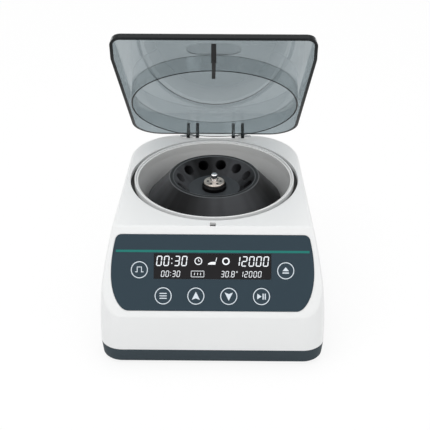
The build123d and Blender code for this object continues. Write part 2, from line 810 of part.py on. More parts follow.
rotor_section = Plane(origin=chamber_top.origin, x_dir=(1, 0, 0), z_dir=(0, -1, 0))
with BuildPart() as rotor:
    with BuildSketch(rotor_section):
        with BuildLine():
            Polyline(
                (rotor_rim_radius, rotor_rim_rise),
                (rotor_rim_radius - rotor_lip_width, rotor_rim_rise),
                (rotor_floor_radius, -rotor_floor_drop),
                (shaft_radius + shaft_fit, -rotor_floor_drop),
                (shaft_radius + shaft_fit, -rotor_bottom_drop + rotor_base_thickness),
                (rotor_boss_radius, -rotor_bottom_drop + rotor_base_thickness),
                (rotor_boss_radius, -rotor_floor_drop - rotor_base_thickness),
                (rotor_hollow_radius, -rotor_floor_drop - rotor_base_thickness),
                (rotor_hollow_radius + rotor_bottom_drop - rotor_floor_drop - rotor_base_thickness,
                 -rotor_bottom_drop),
                (rotor_skirt_radius - rotor_base_thickness, -rotor_bottom_drop),
                (rotor_skirt_radius, -rotor_skirt_drop - rotor_skirt_height),
                (rotor_skirt_radius, -rotor_skirt_drop),
                close=True,
            )
        make_face()
    revolve(axis=spin_axis)
    rim_edge = rotor.edges().filter_by(GeomType.CIRCLE).group_by(Axis.Z)[-1]
    chamfer(rim_edge, rotor_lip_width / 6)
    for plane in well_planes:
        with BuildSketch(plane.offset(well_radius)):
            Circle(well_radius)
        extrude(amount=-well_depth - well_radius, mode=Mode.SUBTRACT)
finish(rotor, "rotor")

with BuildPart() as rotor_hub:
    add(ring(shaft_radius + shaft_fit, hub_radius, rotor_seat_z, hub_top_z))
    hub_edges = rotor_hub.edges().filter_by(GeomType.CIRCLE).group_by(Axis.Z)[-1]
    chamfer(hub_edges.sort_by(SortBy.RADIUS)[-1], hub_height / 3, hub_radius - nut_radius)
finish(rotor_hub, "rotor_hub")

with BuildPart() as rotor_nut:
    with BuildSketch(Plane.XY.offset(hub_top_z)):
        with Locations((0, chamber_y)):
            Circle(nut_radius)
            Circle(m4_radius + screw_clearance, mode=Mode.SUBTRACT)
            with PolarLocations(nut_hole_circle, nut_hole_count):
                Circle(nut_hole_radius, mode=Mode.SUBTRACT)
    extrude(amount=nut_thickness)
    top_edges = rotor_nut.edges().filter_by(GeomType.CIRCLE).group_by(Axis.Z)[-1]
    chamfer(top_edges.sort_by(SortBy.RADIUS)[-1], nut_thickness / 4)
finish(rotor_nut, "rotor_nut")

bolt_top_z = case_height + bolt_rise
with BuildPart() as rotor_bolt:
    with BuildSketch(Plane.XY.offset(nut_top_z)):
        with Locations((0, chamber_y)):
            RegularPolygon(bolt_radius + bolt_play, 6)
    extrude(amount=m4_head_height)
    add(round_post(spin_center, nut_top_z, bolt_top_z, bolt_radius - bolt_play))
    chamfer(rotor_bolt.faces().sort_by(Axis.Z)[-1].edges(), bolt_radius / 4)
    add(round_post(spin_center, hub_top_z - 2 * m4_radius, nut_top_z, m4_radius - screw_clearance))
finish(rotor_bolt, "rotor_bolt")

# ---------------------------------------------------------------- lid
lean_slope = shoulder_drop / (shoulder_radius - shoulder_lean)
chamber_a = hinge_y - chamber_y
ceiling_h = lid_top_h - lid_ceiling


def lid_half(a):
    """Half of the lid's width at its rim, a millimetres in front of the hinge."""
    return half_width(hinge_y - a) - shoulder_lean + lid_overhang


def lid_section(h, inset):
    """The lid's plan at height h: sides and front carry on the housing's lean."""
    lean = inset + lean_slope * (h - lid_rim_h)
    rear, front = lid_rear_a + inset, lid_front_a - lean
    rear_half, front_half = lid_half(rear) - lean, lid_half(front) - lean
    with BuildSketch(lid_plan.offset(h)) as section:
        with BuildLine():
            Polyline((-rear_half, -rear), (rear_half, -rear), (front_half, -front),
                     (-front_half, -front), close=True)
        make_face()
        fillet(section.vertices().group_by(Axis.Y)[-1], lid_rear_corner - inset)
        fillet(section.vertices().group_by(Axis.Y)[0], lid_front_corner - inset)
    return section.sketch


with BuildPart() as lid_cover:
    loft([lid_section(lid_rim_h, 0), lid_section(lid_top_h, 0)])
    lid_top = lid_cover.faces().sort_by(Axis(lid_plan.origin, lid_plan.z_dir))[-1]
    fillet(lid_top.edges(), lid_edge_radius)
    loft([lid_section(lid_rim_h, lid_wall), lid_section(ceiling_h, lid_wall)], mode=Mode.SUBTRACT)
    # visor: the rim rises in front of the bend
    with BuildSketch(lid_side):
        with BuildLine():
            Polyline(
                (lid_bend_a, lid_rim_h),
                (lid_front_a, lid_visor_h),
                (lid_front_a, lid_rim_h - lid_wall),
                (lid_bend_a, lid_rim_h - lid_wall),
                close=True,
            )
        make_face()
    extrude(amount=case_front_width / 2, both=True, mode=Mode.SUBTRACT)
    # shallow arched field on top, with a bare oval in it
    with BuildSketch(lid_plan.offset(lid_top_h)):
        with Locations((0, -crown_center_a)):
            Ellipse(crown_half_width, crown_half_length)
        with Locations((0, -(lid_front_a - 2 * lid_front_corner) / 2)):
            Rectangle(case_front_width, lid_front_a - 2 * lid_front_corner, mode=Mode.INTERSECT)
    extrude(amount=-crown_depth, mode=Mode.SUBTRACT)
    with BuildSketch(lid_plan.offset(lid_top_h - crown_depth)):
        with Locations((0, -badge_center_a)):
            SlotOverall(2 * badge_half_width, 2 * badge_half_length)
    extrude(amount=-badge_depth, mode=Mode.SUBTRACT)
    # hinge ears down the rear wall, bored for the pins
    for centre in ear_centres:
        for side in (-1, 1):
            with BuildSketch(lid_side.offset(side * centre)):
                Circle(ear_radius)
                with Locations((lid_rear_a + lid_wall / 2, ceiling_h)):
                    Rectangle(lid_wall, lid_ceiling / 2)
                make_hull()
            extrude(amount=ear_thickness / 2, both=True)
    with BuildSketch(lid_side):
        Circle(pin_radius + pin_fit)
    extrude(amount=pin_outer_x, both=True, mode=Mode.SUBTRACT)
finish(lid_cover, "lid_cover")

with BuildPart() as lid_ring:
    with BuildSketch(lid_plan.offset(-ring_drop)):
        with Locations((0, -chamber_a)):
            Circle(ring_outer_radius)
            Circle(ring_outer_radius - ring_wall, mode=Mode.SUBTRACT)
    extrude(amount=ring_drop + ceiling_h)
    free_edges = lid_ring.edges().group_by(Axis(lid_plan.origin, lid_plan.z_dir))[0]
    chamfer(free_edges, ring_wall / 4)
finish(lid_ring, "lid_ring")

tongue_front_a = tongue_rear_a + tongue_depth
with BuildPart() as latch_tongue:
    with BuildSketch(lid_side):
        with BuildLine():
            Polyline(
                (tongue_base_rear_a, ceiling_h),
                (tongue_base_a, ceiling_h),
                (tongue_front_a, lid_rim_h),
                (tongue_rear_a, lid_rim_h),
                (tongue_rear_a, lid_rim_h + tongue_depth),
                close=True,
            )
        make_face()
    extrude(amount=tongue_width / 2, both=True)
    with BuildSketch(lid_side):
        with BuildLine():
            Polyline(
                (tongue_front_a, lid_rim_h),
                (tongue_rear_a, lid_rim_h),
                (tongue_rear_a, notch_top_h),
                (tongue_rear_a + notch_depth, notch_top_h),
                (tongue_rear_a + notch_depth, notch_top_h - notch_height),
                (tongue_rear_a, notch_top_h - notch_height),
                (tongue_rear_a, -tongue_drop + tongue_depth / 4),
                (tongue_rear_a + tongue_depth / 3, -tongue_drop),
                (tongue_front_a, -tongue_drop + tongue_depth),
                close=True,
            )
        make_face()
    extrude(amount=tongue_tip_width / 2, both=True)
finish(latch_tongue, "latch_tongue")

with BuildPart() as hinge_pins:
    for side in (-1, 1):
        with BuildSketch(Plane.YZ.offset(side * (pin_inner_x + pin_outer_x) / 2)):
            with Locations((hinge_y, case_height)):
                Circle(pin_radius)
        extrude(amount=(pin_outer_x - pin_inner_x) / 2, both=True)
    chamfer(hinge_pins.edges().filter_by(GeomType.CIRCLE), pin_radius / 4)
finish(hinge_pins, "hinge_pins")

# ---------------------------------------------------------------- latch
latch_bottom_z = latch_top_z - latch_height
latch_half_depth = tongue_depth / 2 + slot_rear_gap + latch_wall
blade_top_z = case_height + notch_top_h - bolt_play
blade_height = notch_height - 2 * bolt_play
blade_front_y = hinge_y - tongue_rear_a - notch_depth + bolt_play
blade_depth = notch_depth + slot_rear_gap - bolt_play
blade_tip_x = tongue_tip_width / 2 + 2 * bolt_play
blade_y = blade_front_y + blade_depth / 2
blade_z = blade_top_z - blade_height / 2
tongue_tip_z = case_height - tongue_drop
switch_top_z = latch_bottom_z + switch_block_height
bolt_plane = Plane(origin=(0, blade_y, blade_z), x_dir=(0, 1, 0), z_dir=(1, 0, 0))

with BuildPart() as latch_housing:
    with BuildSketch(Plane.XY.offset(latch_bottom_z)):
        with Locations(((latch_right_x - latch_left_x) / 2, slot_y)):
            RectangleRounded(latch_right_x + latch_left_x, 2 * latch_half_depth, bolt_play * 3)
    extrude(amount=latch_height)
    # well for the tongue, pocket for the lid switch, channel for the bolt
    with BuildSketch(Plane.XY.offset(latch_top_z)):
        with Locations((0, slot_y)):
            Rectangle(2 * slot_half_width, 2 * slot_half_length)
    extrude(amount=-latch_height, mode=Mode.SUBTRACT)
    with BuildSketch(Plane.XY.offset(latch_bottom_z)):
        with Locations((0, slot_y)):
            Rectangle(2 * switch_block_half + 4 * screw_clearance, 2 * slot_half_length)
    extrude(amount=switch_block_height + screw_clearance, mode=Mode.SUBTRACT)
    with BuildSketch(bolt_plane.offset(-bolt_travel + blade_tip_x - bolt_play)):
        Rectangle(blade_depth + 2 * bolt_play, blade_height + 2 * bolt_play)
    extrude(amount=bolt_travel + bolt_play + blade_length + bolt_play, mode=Mode.SUBTRACT)
    with BuildSketch(bolt_plane.offset(blade_tip_x + blade_length - bolt_travel - bolt_play)):
        Circle(plunger_radius + bolt_play)
    extrude(amount=latch_right_x, mode=Mode.SUBTRACT)
    with BuildSketch(Plane.XY.offset(latch_bottom_z)):
        with Locations(*latch_posts):
            Circle(m3_radius + screw_clearance)
    extrude(amount=latch_height, mode=Mode.SUBTRACT)
finish(latch_housing, "latch_housing")

with BuildPart() as latch_bolt:
    with BuildSketch(bolt_plane.offset(blade_tip_x)):
        Rectangle(blade_depth, blade_height)
    extrude(amount=blade_length)
    with BuildSketch(bolt_plane.offset(blade_tip_x + blade_length)):
        Circle(plunger_radius)
    extrude(amount=plunger_length)
finish(latch_bolt, "latch_bolt")

with BuildPart() as latch_solenoid:
    with BuildSketch(bolt_plane.offset(latch_right_x)):
        RectangleRounded(solenoid_depth, solenoid_height, bolt_play * 3)
        Circle(plunger_radius + bolt_play, mode=Mode.SUBTRACT)
    extrude(amount=solenoid_length)
finish(latch_solenoid, "latch_solenoid")

with BuildPart() as lid_switch:
    with BuildSketch(Plane.XY.offset(latch_bottom_z)):
        with Locations((0, slot_y)):
            Rectangle(2 * switch_block_half, 2 * slot_half_length - 2 * screw_clearance)
    extrude(amount=switch_block_height)
    add(round_post((0, slot_y), switch_top_z, tongue_tip_z - bolt_play, tongue_tip_width / 2))
finish(lid_switch, "lid_switch")

with BuildPart() as latch_screws:
    for x, y in latch_posts:
        add(round_post((x, y), latch_bottom_z, latch_top_z + case_wall, m3_radius))
        add(round_post((x, y), latch_bottom_z - m3_head_height, latch_bottom_z, m3_head_radius))
finish(latch_screws, "latch_screws")

# ---------------------------------------------------------------- control face
key_flange_depth = case_wall + screw_clearance
key_top = panel_thickness - panel_recess + key_proud
switch_face_depth = key_flange_depth + key_flange_thickness + key_travel + screw_clearance
board_inner_depth = key_board_depth + board_thickness

with BuildPart() as control_panel:
    extrude(panel_outline(panel_recess, 0), amount=panel_thickness)
    with BuildSketch(facet):
        with Locations(window_point):
            Rectangle(2 * window_half_width, window_height)
        with Locations(*key_points):
            Circle(key_hole_radius)
    extrude(amount=panel_thickness, both=True, mode=Mode.SUBTRACT)
finish(control_panel, "control_panel")

with BuildPart() as display_window:
    with BuildSketch(facet.offset(-panel_recess)):
        with Locations(window_point):
            Rectangle(2 * (window_half_width - window_fit), window_height - 2 * window_fit)
    extrude(amount=panel_thickness)
finish(display_window, "display_window")

with BuildPart() as display_module:
    with BuildSketch(facet.offset(-case_wall)):
        with Locations(window_point):
            Rectangle(2 * (window_half_width + module_border), window_height + 2 * module_border)
    extrude(amount=-module_thickness)
finish(display_module, "display_module")

for name, (x, s) in key_places.items():
    with BuildPart() as key:
        with BuildSketch(facet.offset(-key_flange_depth)):
            with Locations(slope_point(x, s)):
                Circle(key_radius)
        extrude(amount=key_flange_depth + key_top)
        chamfer(key.edges().group_by(Axis(facet.origin, facet.z_dir))[-1], key_proud)
        with BuildSketch(facet.offset(-key_flange_depth)):
            with Locations(slope_point(x, s)):
                Circle(key_radius + key_flange)
        extrude(amount=-key_flange_thickness)
    finish(key, name)

with BuildPart() as key_board:
    with BuildSketch(facet.offset(-key_board_depth)):
        with Locations(slope_point(0, (key_post_top_s + key_post_bottom_s) / 2)):
            RectangleRounded(
                2 * (key_post_x + post_radius),
                key_post_bottom_s - key_post_top_s + 2 * post_radius,
                post_radius / 2,
            )
    extrude(amount=-board_thickness)
    with BuildSketch(facet.offset(-key_board_depth)):
        with Locations(*key_posts):
            Circle(m3_radius * 0.5 + screw_clearance)
    extrude(amount=-board_thickness, mode=Mode.SUBTRACT)
finish(key_board, "key_board")

with BuildPart() as key_switches:
    with BuildSketch(facet.offset(-key_board_depth)):
        with Locations(*key_points):
            Rectangle(2 * switch_half, 2 * switch_half)
    extrude(amount=switch_half)
    with BuildSketch(facet.offset(-key_board_depth)):
        with Locations(*key_points):
            Circle(switch_half / 2)
    extrude(amount=key_board_depth - switch_face_depth)
finish(key_switches, "key_switches")

with BuildPart() as key_board_screws:
    with BuildSketch(facet.offset(-board_inner_depth)):
        with Locations(*key_posts):
            Circle(m3_radius * 0.5)
    extrude(amount=board_inner_depth - case_wall - screw_clearance)
    with BuildSketch(facet.offset(-board_inner_depth)):
        with Locations(*key_posts):
            Circle(post_radius)
    extrude(amount=-m3_radius)
finish(key_board_screws, "key_board_screws")

# ---------------------------------------------------------------- rear connections
rear_out = inlet_flange_thickness
inlet_points = [(-inlet_x - inlet_screw_pitch, 0), (-inlet_x + inlet_screw_pitch, 0)]
with BuildPart() as mains_inlet:
    with BuildSketch(rear_face):
        with Locations((-inlet_x, 0)):
            RectangleRounded(inlet_flange_width, inlet_flange_height, inlet_cavity_chamfer)
        with Locations(*inlet_points):
            Circle(m3_radius + screw_clearance, mode=Mode.SUBTRACT)
    extrude(amount=rear_out)
    with BuildSketch(rear_face):
        with Locations((-inlet_x, 0)):
            Rectangle(inlet_body_width, inlet_body_height)
    extrude(amount=-inlet_body_depth)
    with BuildSketch(rear_face.offset(rear_out)) as socket:
        with Locations((-inlet_x, 0)):
            Rectangle(inlet_cavity_width, inlet_cavity_height)
        chamfer(socket.vertices().group_by(Axis.Y)[-1], inlet_cavity_chamfer)
    extrude(amount=-inlet_cavity_depth, mode=Mode.SUBTRACT)
finish(mains_inlet, "mains_inlet")

with BuildPart() as inlet_pins:
    with BuildSketch(rear_face.offset(rear_out - inlet_cavity_depth)):
        with Locations(
            (-inlet_x - inlet_pin_pitch, -inlet_earth_rise / 2),
            (-inlet_x + inlet_pin_pitch, -inlet_earth_rise / 2),
            (-inlet_x, inlet_earth_rise / 2),
        ):
            Rectangle(inlet_pin_width, inlet_pin_height)
    extrude(amount=inlet_pin_length)
finish(inlet_pins, "inlet_pins")

with BuildPart() as inlet_screws:
    with BuildSketch(rear_face.offset(rear_out)):
        with Locations(*inlet_points):
            Circle(m3_radius)
    extrude(amount=-3 * case_wall)
    with BuildSketch(rear_face.offset(rear_out)):
        with Locations(*inlet_points):
            Circle(m3_head_radius)
    extrude(amount=screw_cap_height)
finish(inlet_screws, "inlet_screws")

rocker_slot_height = 2 * (rocker_radius + rocker_gap)
rocker_plane = Plane.YZ.offset(rocker_x)
rocker_pivot = (y_rear - case_wall, connector_z)
axle_radius = rocker_radius * 0.15
axle_half = rocker_width / 2 + rocker_gap + screw_clearance * 8
with BuildPart() as rocker_frame:
    with BuildSketch(rear_face):
        with Locations((-rocker_x, 0)):
            RectangleRounded(rocker_frame_width, rocker_frame_height, rocker_frame_flange / 2)
    extrude(amount=rocker_frame_flange)
    with BuildSketch(rear_face):
        with Locations((-rocker_x, 0)):
            Rectangle(rocker_body_width, rocker_body_height)
    extrude(amount=-rocker_body_depth)
    with BuildSketch(rear_face.offset(rocker_frame_flange)):
        with Locations((-rocker_x, 0)):
            Rectangle(rocker_width + 2 * rocker_gap, rocker_slot_height)
    extrude(amount=-rocker_body_depth + rocker_frame_flange, mode=Mode.SUBTRACT)
    with BuildSketch(rocker_plane):
        with Locations(rocker_pivot):
            Circle(axle_radius + screw_clearance)
    extrude(amount=axle_half + screw_clearance, both=True, mode=Mode.SUBTRACT)
finish(rocker_frame, "rocker_frame")

rocker_reach = rocker_radius * 0.4
rocker_end = sqrt(rocker_radius**2 - rocker_reach**2)
with BuildPart() as power_rocker:
    with BuildSketch(Plane.YZ):
        with BuildLine():
            Polyline((rocker_reach, -rocker_end), (rocker_reach * 0.7, 0),
                     (rocker_reach, rocker_end))
            ThreePointArc((rocker_reach, rocker_end), (0, rocker_radius),
                          (-rocker_reach, rocker_end))
            Line((-rocker_reach, rocker_end), (-rocker_reach, -rocker_end))
            ThreePointArc((-rocker_reach, -rocker_end), (0, -rocker_radius),
                          (rocker_reach, -rocker_end))
        make_face()
    extrude(amount=rocker_width / 2, both=True)
    with BuildSketch(Plane.YZ):
        Circle(axle_radius)
    extrude(amount=axle_half, both=True)
rocker_at_rest = Pos(rocker_x, *rocker_pivot) * Rot(-rocker_tilt, 0, 0)
power_rocker.part = rocker_at_rest * power_rocker.part
finish(power_rocker, "power_rocker")

# ---------------------------------------------------------------- electronics on the base
supply_top = board_z + board_thickness


def board(center_y, width, depth, posts):
    """A circuit board on its standoffs, with screw holes."""
    with BuildPart() as plate:
        with BuildSketch(Plane.XY.offset(board_z)):
            with Locations((0, center_y)):
                Rectangle(width, depth)
            with Locations(*posts):
                Circle(m3_radius + screw_clearance, mode=Mode.SUBTRACT)
        extrude(amount=board_thickness)
    return plate.part


with BuildPart() as power_supply:
    add(board(supply_y, supply_width, supply_depth, supply_posts))
    with BuildSketch(Plane.XY.offset(supply_top)):
        with Locations((-supply_width / 6, supply_y)):
            Rectangle(supply_width / 3.4, supply_depth * 0.7)
    extrude(amount=supply_height)
    with BuildSketch(Plane.XY.offset(supply_top)):
        with Locations((supply_width / 5, supply_y - supply_depth / 8),
                       (supply_width / 3, supply_y)):
            Circle(supply_depth / 8)
    extrude(amount=supply_height * 0.8)
    with BuildSketch(Plane.XY.offset(supply_top)):
        with Locations((supply_width / 4, supply_y + supply_depth / 3)):
            Rectangle(supply_width / 4, board_thickness * 2)
    extrude(amount=supply_height * 0.7)
finish(power_supply, "power_supply")

with BuildPart() as control_board:
    add(board(control_y, control_width, control_depth, control_posts))
    with BuildSketch(Plane.XY.offset(supply_top)):
        with Locations((-control_width / 5, control_y)):
            Rectangle(control_depth / 3, control_depth / 3)
        with Locations((control_width / 8, control_y)):
            with GridLocations(control_depth / 3, control_depth / 3, 3, 2):
                Rectangle(control_depth / 5, control_depth / 6)
    extrude(amount=board_thickness)
    with BuildSketch(Plane.XY.offset(supply_top)):
        with Locations((-control_width / 2.6, control_y)):
            with GridLocations(0, control_depth / 3, 1, 2):
                Circle(control_depth / 9)
    extrude(amount=standoff_height * 2)
finish(control_board, "control_board")

with BuildPart() as board_screws:
    for post in supply_posts + control_posts:
        add(round_post(post, floor_z + board_thickness, supply_top, m3_radius))
        add(round_post(post, supply_top, supply_top + m3_head_height, m3_head_radius))
finish(board_screws, "board_screws")
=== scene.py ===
"""Finishes and fine detail for a bench microtube centrifuge, built round its solids.

Everything is in metres, in the frame of the solids: +X is to the right, -Y is the side of the
control face and +Z is up. Sizes that a maker would read off a drawing are written in
millimetres and turned into metres by mm().
"""

import json
import logging
from dataclasses import dataclass, field
from enum import Enum
from functools import cache
from math import atan, cos, pi, radians, sin
from typing import Callable

import bmesh
import bpy
from mathutils import Matrix, Vector


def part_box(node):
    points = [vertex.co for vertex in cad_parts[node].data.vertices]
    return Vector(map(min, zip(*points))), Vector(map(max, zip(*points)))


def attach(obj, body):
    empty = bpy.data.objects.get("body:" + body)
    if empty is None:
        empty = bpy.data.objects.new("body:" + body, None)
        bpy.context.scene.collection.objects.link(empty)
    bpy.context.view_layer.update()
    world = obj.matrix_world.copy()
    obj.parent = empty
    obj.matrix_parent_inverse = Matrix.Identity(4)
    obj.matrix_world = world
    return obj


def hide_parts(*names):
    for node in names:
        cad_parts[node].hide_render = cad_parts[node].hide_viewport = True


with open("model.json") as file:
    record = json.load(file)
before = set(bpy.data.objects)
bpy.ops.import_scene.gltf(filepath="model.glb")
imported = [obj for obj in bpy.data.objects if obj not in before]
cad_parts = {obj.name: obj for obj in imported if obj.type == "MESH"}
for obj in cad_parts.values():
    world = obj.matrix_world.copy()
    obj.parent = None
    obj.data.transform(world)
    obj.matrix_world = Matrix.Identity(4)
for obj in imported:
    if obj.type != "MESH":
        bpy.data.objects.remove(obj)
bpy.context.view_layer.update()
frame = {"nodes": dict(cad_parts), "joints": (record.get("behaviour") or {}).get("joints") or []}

log = logging.getLogger("centrifuge")
Colour = tuple[float, float, float, float]
Place = tuple[float, float]
Outline = list[Place]
Tree = bpy.types.NodeTree
Node = bpy.types.Node
Socket = bpy.types.NodeSocket
WHITE: Colour = (1.0, 1.0, 1.0, 1.0)

JOINTS = {joint["name"]: joint for joint in frame["joints"]}
SPIN = JOINTS["rotor_spin"]["pos_m"]
HINGE = Vector(JOINTS["lid_hinge"]["pos_m"])
OPEN_ANGLE = radians(JOINTS["lid_hinge"]["range_deg"][1])
PRESS = Vector(JOINTS["key_start_press"]["axis"])


def mm(size: float) -> float:
    """Metres from millimetres."""
    return size / 1000.0


def srgb(*levels: float) -> Colour:
    """Linear colour from red, green and blue screen levels between 0 and 255."""
    shares = [level / 255.0 for level in levels]
    return (*(s / 12.92 if s <= 0.04045 else ((s + 0.055) / 1.055) ** 2.4 for s in shares), 1.0)


def shade(colour: Colour, factor: float) -> Colour:
    """The same colour made lighter or darker by a factor."""
    return (*(min(1.0, part * factor) for part in colour[:3]), 1.0)


# ---------- shader building
@dataclass
class Graph:
    """Adds and joins the nodes of one shader tree."""

    tree: Tree

    def add(self, kind: str, inputs: dict | None = None, **settings: object) -> Node:
        """Add a node.

        Args:
            kind: Node type without its ShaderNode prefix.
            inputs: Values or sockets for the node's inputs, by name or index.
            **settings: Attributes of the node itself.

        Returns:
            The new node.
        """
        node = self.tree.nodes.new("ShaderNode" + kind)
        for name, value in settings.items():
            setattr(node, name, value)
        for name, value in (inputs or {}).items():
            self.feed(node.inputs[name], value)
        return node

    def feed(self, socket: Socket, value: object) -> None:
        """Set a socket, or join another socket to it.

        Args:
            socket: The input socket.
            value: A plain value or an output socket.
        """
        if isinstance(value, Socket):
            self.tree.links.new(value, socket)
        else:
            socket.default_value = value

    def math(self, operation: str, *values: object) -> Socket:
        """Result of one Math node's operation on numbers or sockets."""
        return self.add("Math", dict(enumerate(values)), operation=operation).outputs[0]

    def blend(self, factor: object, first: object, second: object) -> Socket:
        """Mix two colours.

        Args:
            factor: Share of the second colour.
            first: First colour.
            second: Second colour.

        Returns:
            The mixed colour socket.
        """
        node = self.add("Mix", data_type="RGBA")
        for index, value in ((0, factor), (6, first), (7, second)):
            self.feed(node.inputs[index], value)
        return node.outputs[2]


def new_group(name: str, inputs: dict[str, float | None], outputs: dict[str, str]) -> tuple:
    """Start a shader group.

    Args:
        name: Name of the group.
        inputs: Input names with their default values; None makes a vector input.
        outputs: Output names with their kinds, Float, Color or Vector.

    Returns:
        The tree, its graph, its input node and its output node.
    """
    tree = bpy.data.node_groups.new(name, "ShaderNodeTree")
    for label, value in inputs.items():
        kind = "NodeSocketVector" if value is None else "NodeSocketFloat"
        socket = tree.interface.new_socket(label, in_out="INPUT", socket_type=kind)
        if value is not None:
            socket.default_value = value
    for label, kind in outputs.items():
        tree.interface.new_socket(label, in_out="OUTPUT", socket_type="NodeSocket" + kind)
    graph = Graph(tree)
    return tree, graph, tree.nodes.new("NodeGroupInput"), tree.nodes.new("NodeGroupOutput")


@cache
def mould_grain() -> Tree:
    """Fine grain of a moulded skin, with a slow drift across the whole part.

    Returns:
        Group with inputs Place and Grain, and outputs Height and Drift.
    """
    tree, graph, given, result = new_group(
        "mould_grain", {"Place": None, "Grain": 0.5}, {"Height": "Float", "Drift": "Float"}
    )
    coarse_scale, coarse_height = 0.23, 0.4
    place = given.outputs["Place"]
    per_metre = graph.math("DIVIDE", 1.0 / mm(1.0), given.outputs["Grain"])
    fine = graph.add("TexNoise", {"Vector": place, "Scale": per_metre, "Detail": 2.0,
                                  "Roughness": 0.6})
    coarse = graph.add("TexNoise", {
        "Vector": place, "Scale": graph.math("MULTIPLY", per_metre, coarse_scale)})
    slow = graph.add("TexNoise", {"Vector": place, "Scale": 14.0, "Detail": 3.0})
    height = graph.math("MULTIPLY_ADD", coarse.outputs[0], coarse_height, fine.outputs[0])
    graph.feed(result.inputs["Height"], height)
    graph.feed(result.inputs["Drift"], slow.outputs[0])
    return tree


@cache
def turned_rings() -> Tree:
    """Tool marks left by turning about the local Z axis, and a painted sheen that sweeps round
    it.

    Returns:
        Group with inputs Place and Pitch, and outputs Height and the painted sheen.
    """
    tree, graph, given, result = new_group(
        "turned_rings", {"Place": None, "Pitch": 0.4}, {"Height": "Float", "PaintedGlint": "Float"}
    )
    unevenness, lobes, lobe_turn, lobe_depth = 0.8, 3.0, radians(204.0), 0.55
    parts = graph.add("SeparateXYZ", {0: given.outputs["Place"]})
    flat = graph.add("CombineXYZ", {0: parts.outputs[0], 1: parts.outputs[1]})
    radius = graph.add("VectorMath", {0: flat.outputs[0]}, operation="LENGTH").outputs["Value"]
    reach = graph.math("ADD", radius, parts.outputs[2])
    pitch = graph.math("DIVIDE", given.outputs["Pitch"], 1.0 / mm(1.0))
    turns = graph.math("DIVIDE", reach, pitch)
    wave = graph.math("SINE", graph.math("MULTIPLY", turns, 2.0 * pi))
    uneven = graph.add("TexNoise", {"Scale": 1.0, "Detail": 2.0, "W": turns},
                       noise_dimensions="1D")
    angle = graph.math("ARCTAN2", parts.outputs[1], parts.outputs[0])
    sweep = graph.add("TexNoise", {"Scale": 3.0, "Detail": 1.0, "W": angle},
                      noise_dimensions="1D")
    # Painted sheen: three lighter and darker lobes round the axis, over noisy streaks, stand in
    # for the highlights of turned metal.
    painted_lobes = graph.math("COSINE", graph.math("MULTIPLY_ADD", angle, lobes, lobe_turn))
    graph.feed(result.inputs["Height"],
               graph.math("MULTIPLY_ADD", uneven.outputs[0], unevenness, wave))
    graph.feed(result.inputs["PaintedGlint"],
               graph.math("MULTIPLY_ADD", painted_lobes, lobe_depth, sweep.outputs[0]))
    return tree


@cache
def handling_marks() -> Tree:
    """Soft smudges and a few hairline scuffs from use.

    Returns:
        Group with inputs Place and Amount, and output Mask.
    """
    tree, graph, given, result = new_group(
        "handling_marks", {"Place": None, "Amount": 0.5}, {"Mask": "Float"}
    )
    hair_width, hair_where, hair_weight = 0.006, 0.62, 0.5
    place = given.outputs["Place"]
    smudge = graph.add("TexNoise", {"Vector": place, "Scale": 26.0, "Detail": 4.0,
                                    "Distortion": 0.6})
    hair = graph.add("TexVoronoi", {"Vector": place, "Scale": 60.0}, feature="DISTANCE_TO_EDGE")
    line = graph.math("LESS_THAN", hair.outputs["Distance"], hair_width)
    sparse = graph.math("GREATER_THAN", smudge.outputs[0], hair_where)
    mask = graph.math("MULTIPLY_ADD", graph.math("MULTIPLY", line, sparse), hair_weight,
                      smudge.outputs[0])
    graph.feed(result.inputs["Mask"], graph.math("MULTIPLY", mask, given.outputs["Amount"]))
    return tree


@cache
def settled_dust() -> Tree:
    """Thin dust on faces that look up.

    Returns:
        Group with inputs Place and Amount, and output Mask.
    """
    tree, graph, given, result = new_group(
        "settled_dust", {"Place": None, "Amount": 0.2}, {"Mask": "Float"}
    )
    face = graph.add("NewGeometry")
    up = graph.add("SeparateXYZ", {0: face.outputs["Normal"]}).outputs[2]
    cloud = graph.add("TexNoise", {"Vector": given.outputs["Place"], "Scale": 90.0,
                                   "Detail": 5.0})
    level = graph.math("MULTIPLY", graph.math("MAXIMUM", up, 0.0), cloud.outputs[0])
    graph.feed(result.inputs["Mask"], graph.math("MULTIPLY", level, given.outputs["Amount"]))
    return tree


@cache
def soft_edge() -> Tree:
    """Rounded edges for shading, and where those edges are, for a painted highlight along them.

    Returns:
        Group with input Radius, and outputs Normal and Edge.
    """
    tree, graph, given, result = new_group(
        "soft_edge", {"Radius": mm(0.3)}, {"Normal": "Vector", "Edge": "Float"}
    )
    round_over = graph.add("Bevel", {"Radius": given.outputs["Radius"]}, samples=4)
    face = graph.add("NewGeometry")
    match = graph.add("VectorMath", {0: round_over.outputs[0], 1: face.outputs["Normal"]},
                      operation="DOT_PRODUCT").outputs["Value"]
    graph.feed(result.inputs["Normal"], round_over.outputs[0])
    graph.feed(result.inputs["Edge"], graph.math("SUBTRACT", 1.0, match))
    return tree


# ---------- finishes
DUST_COLOUR: Colour = srgb(200, 198, 192)


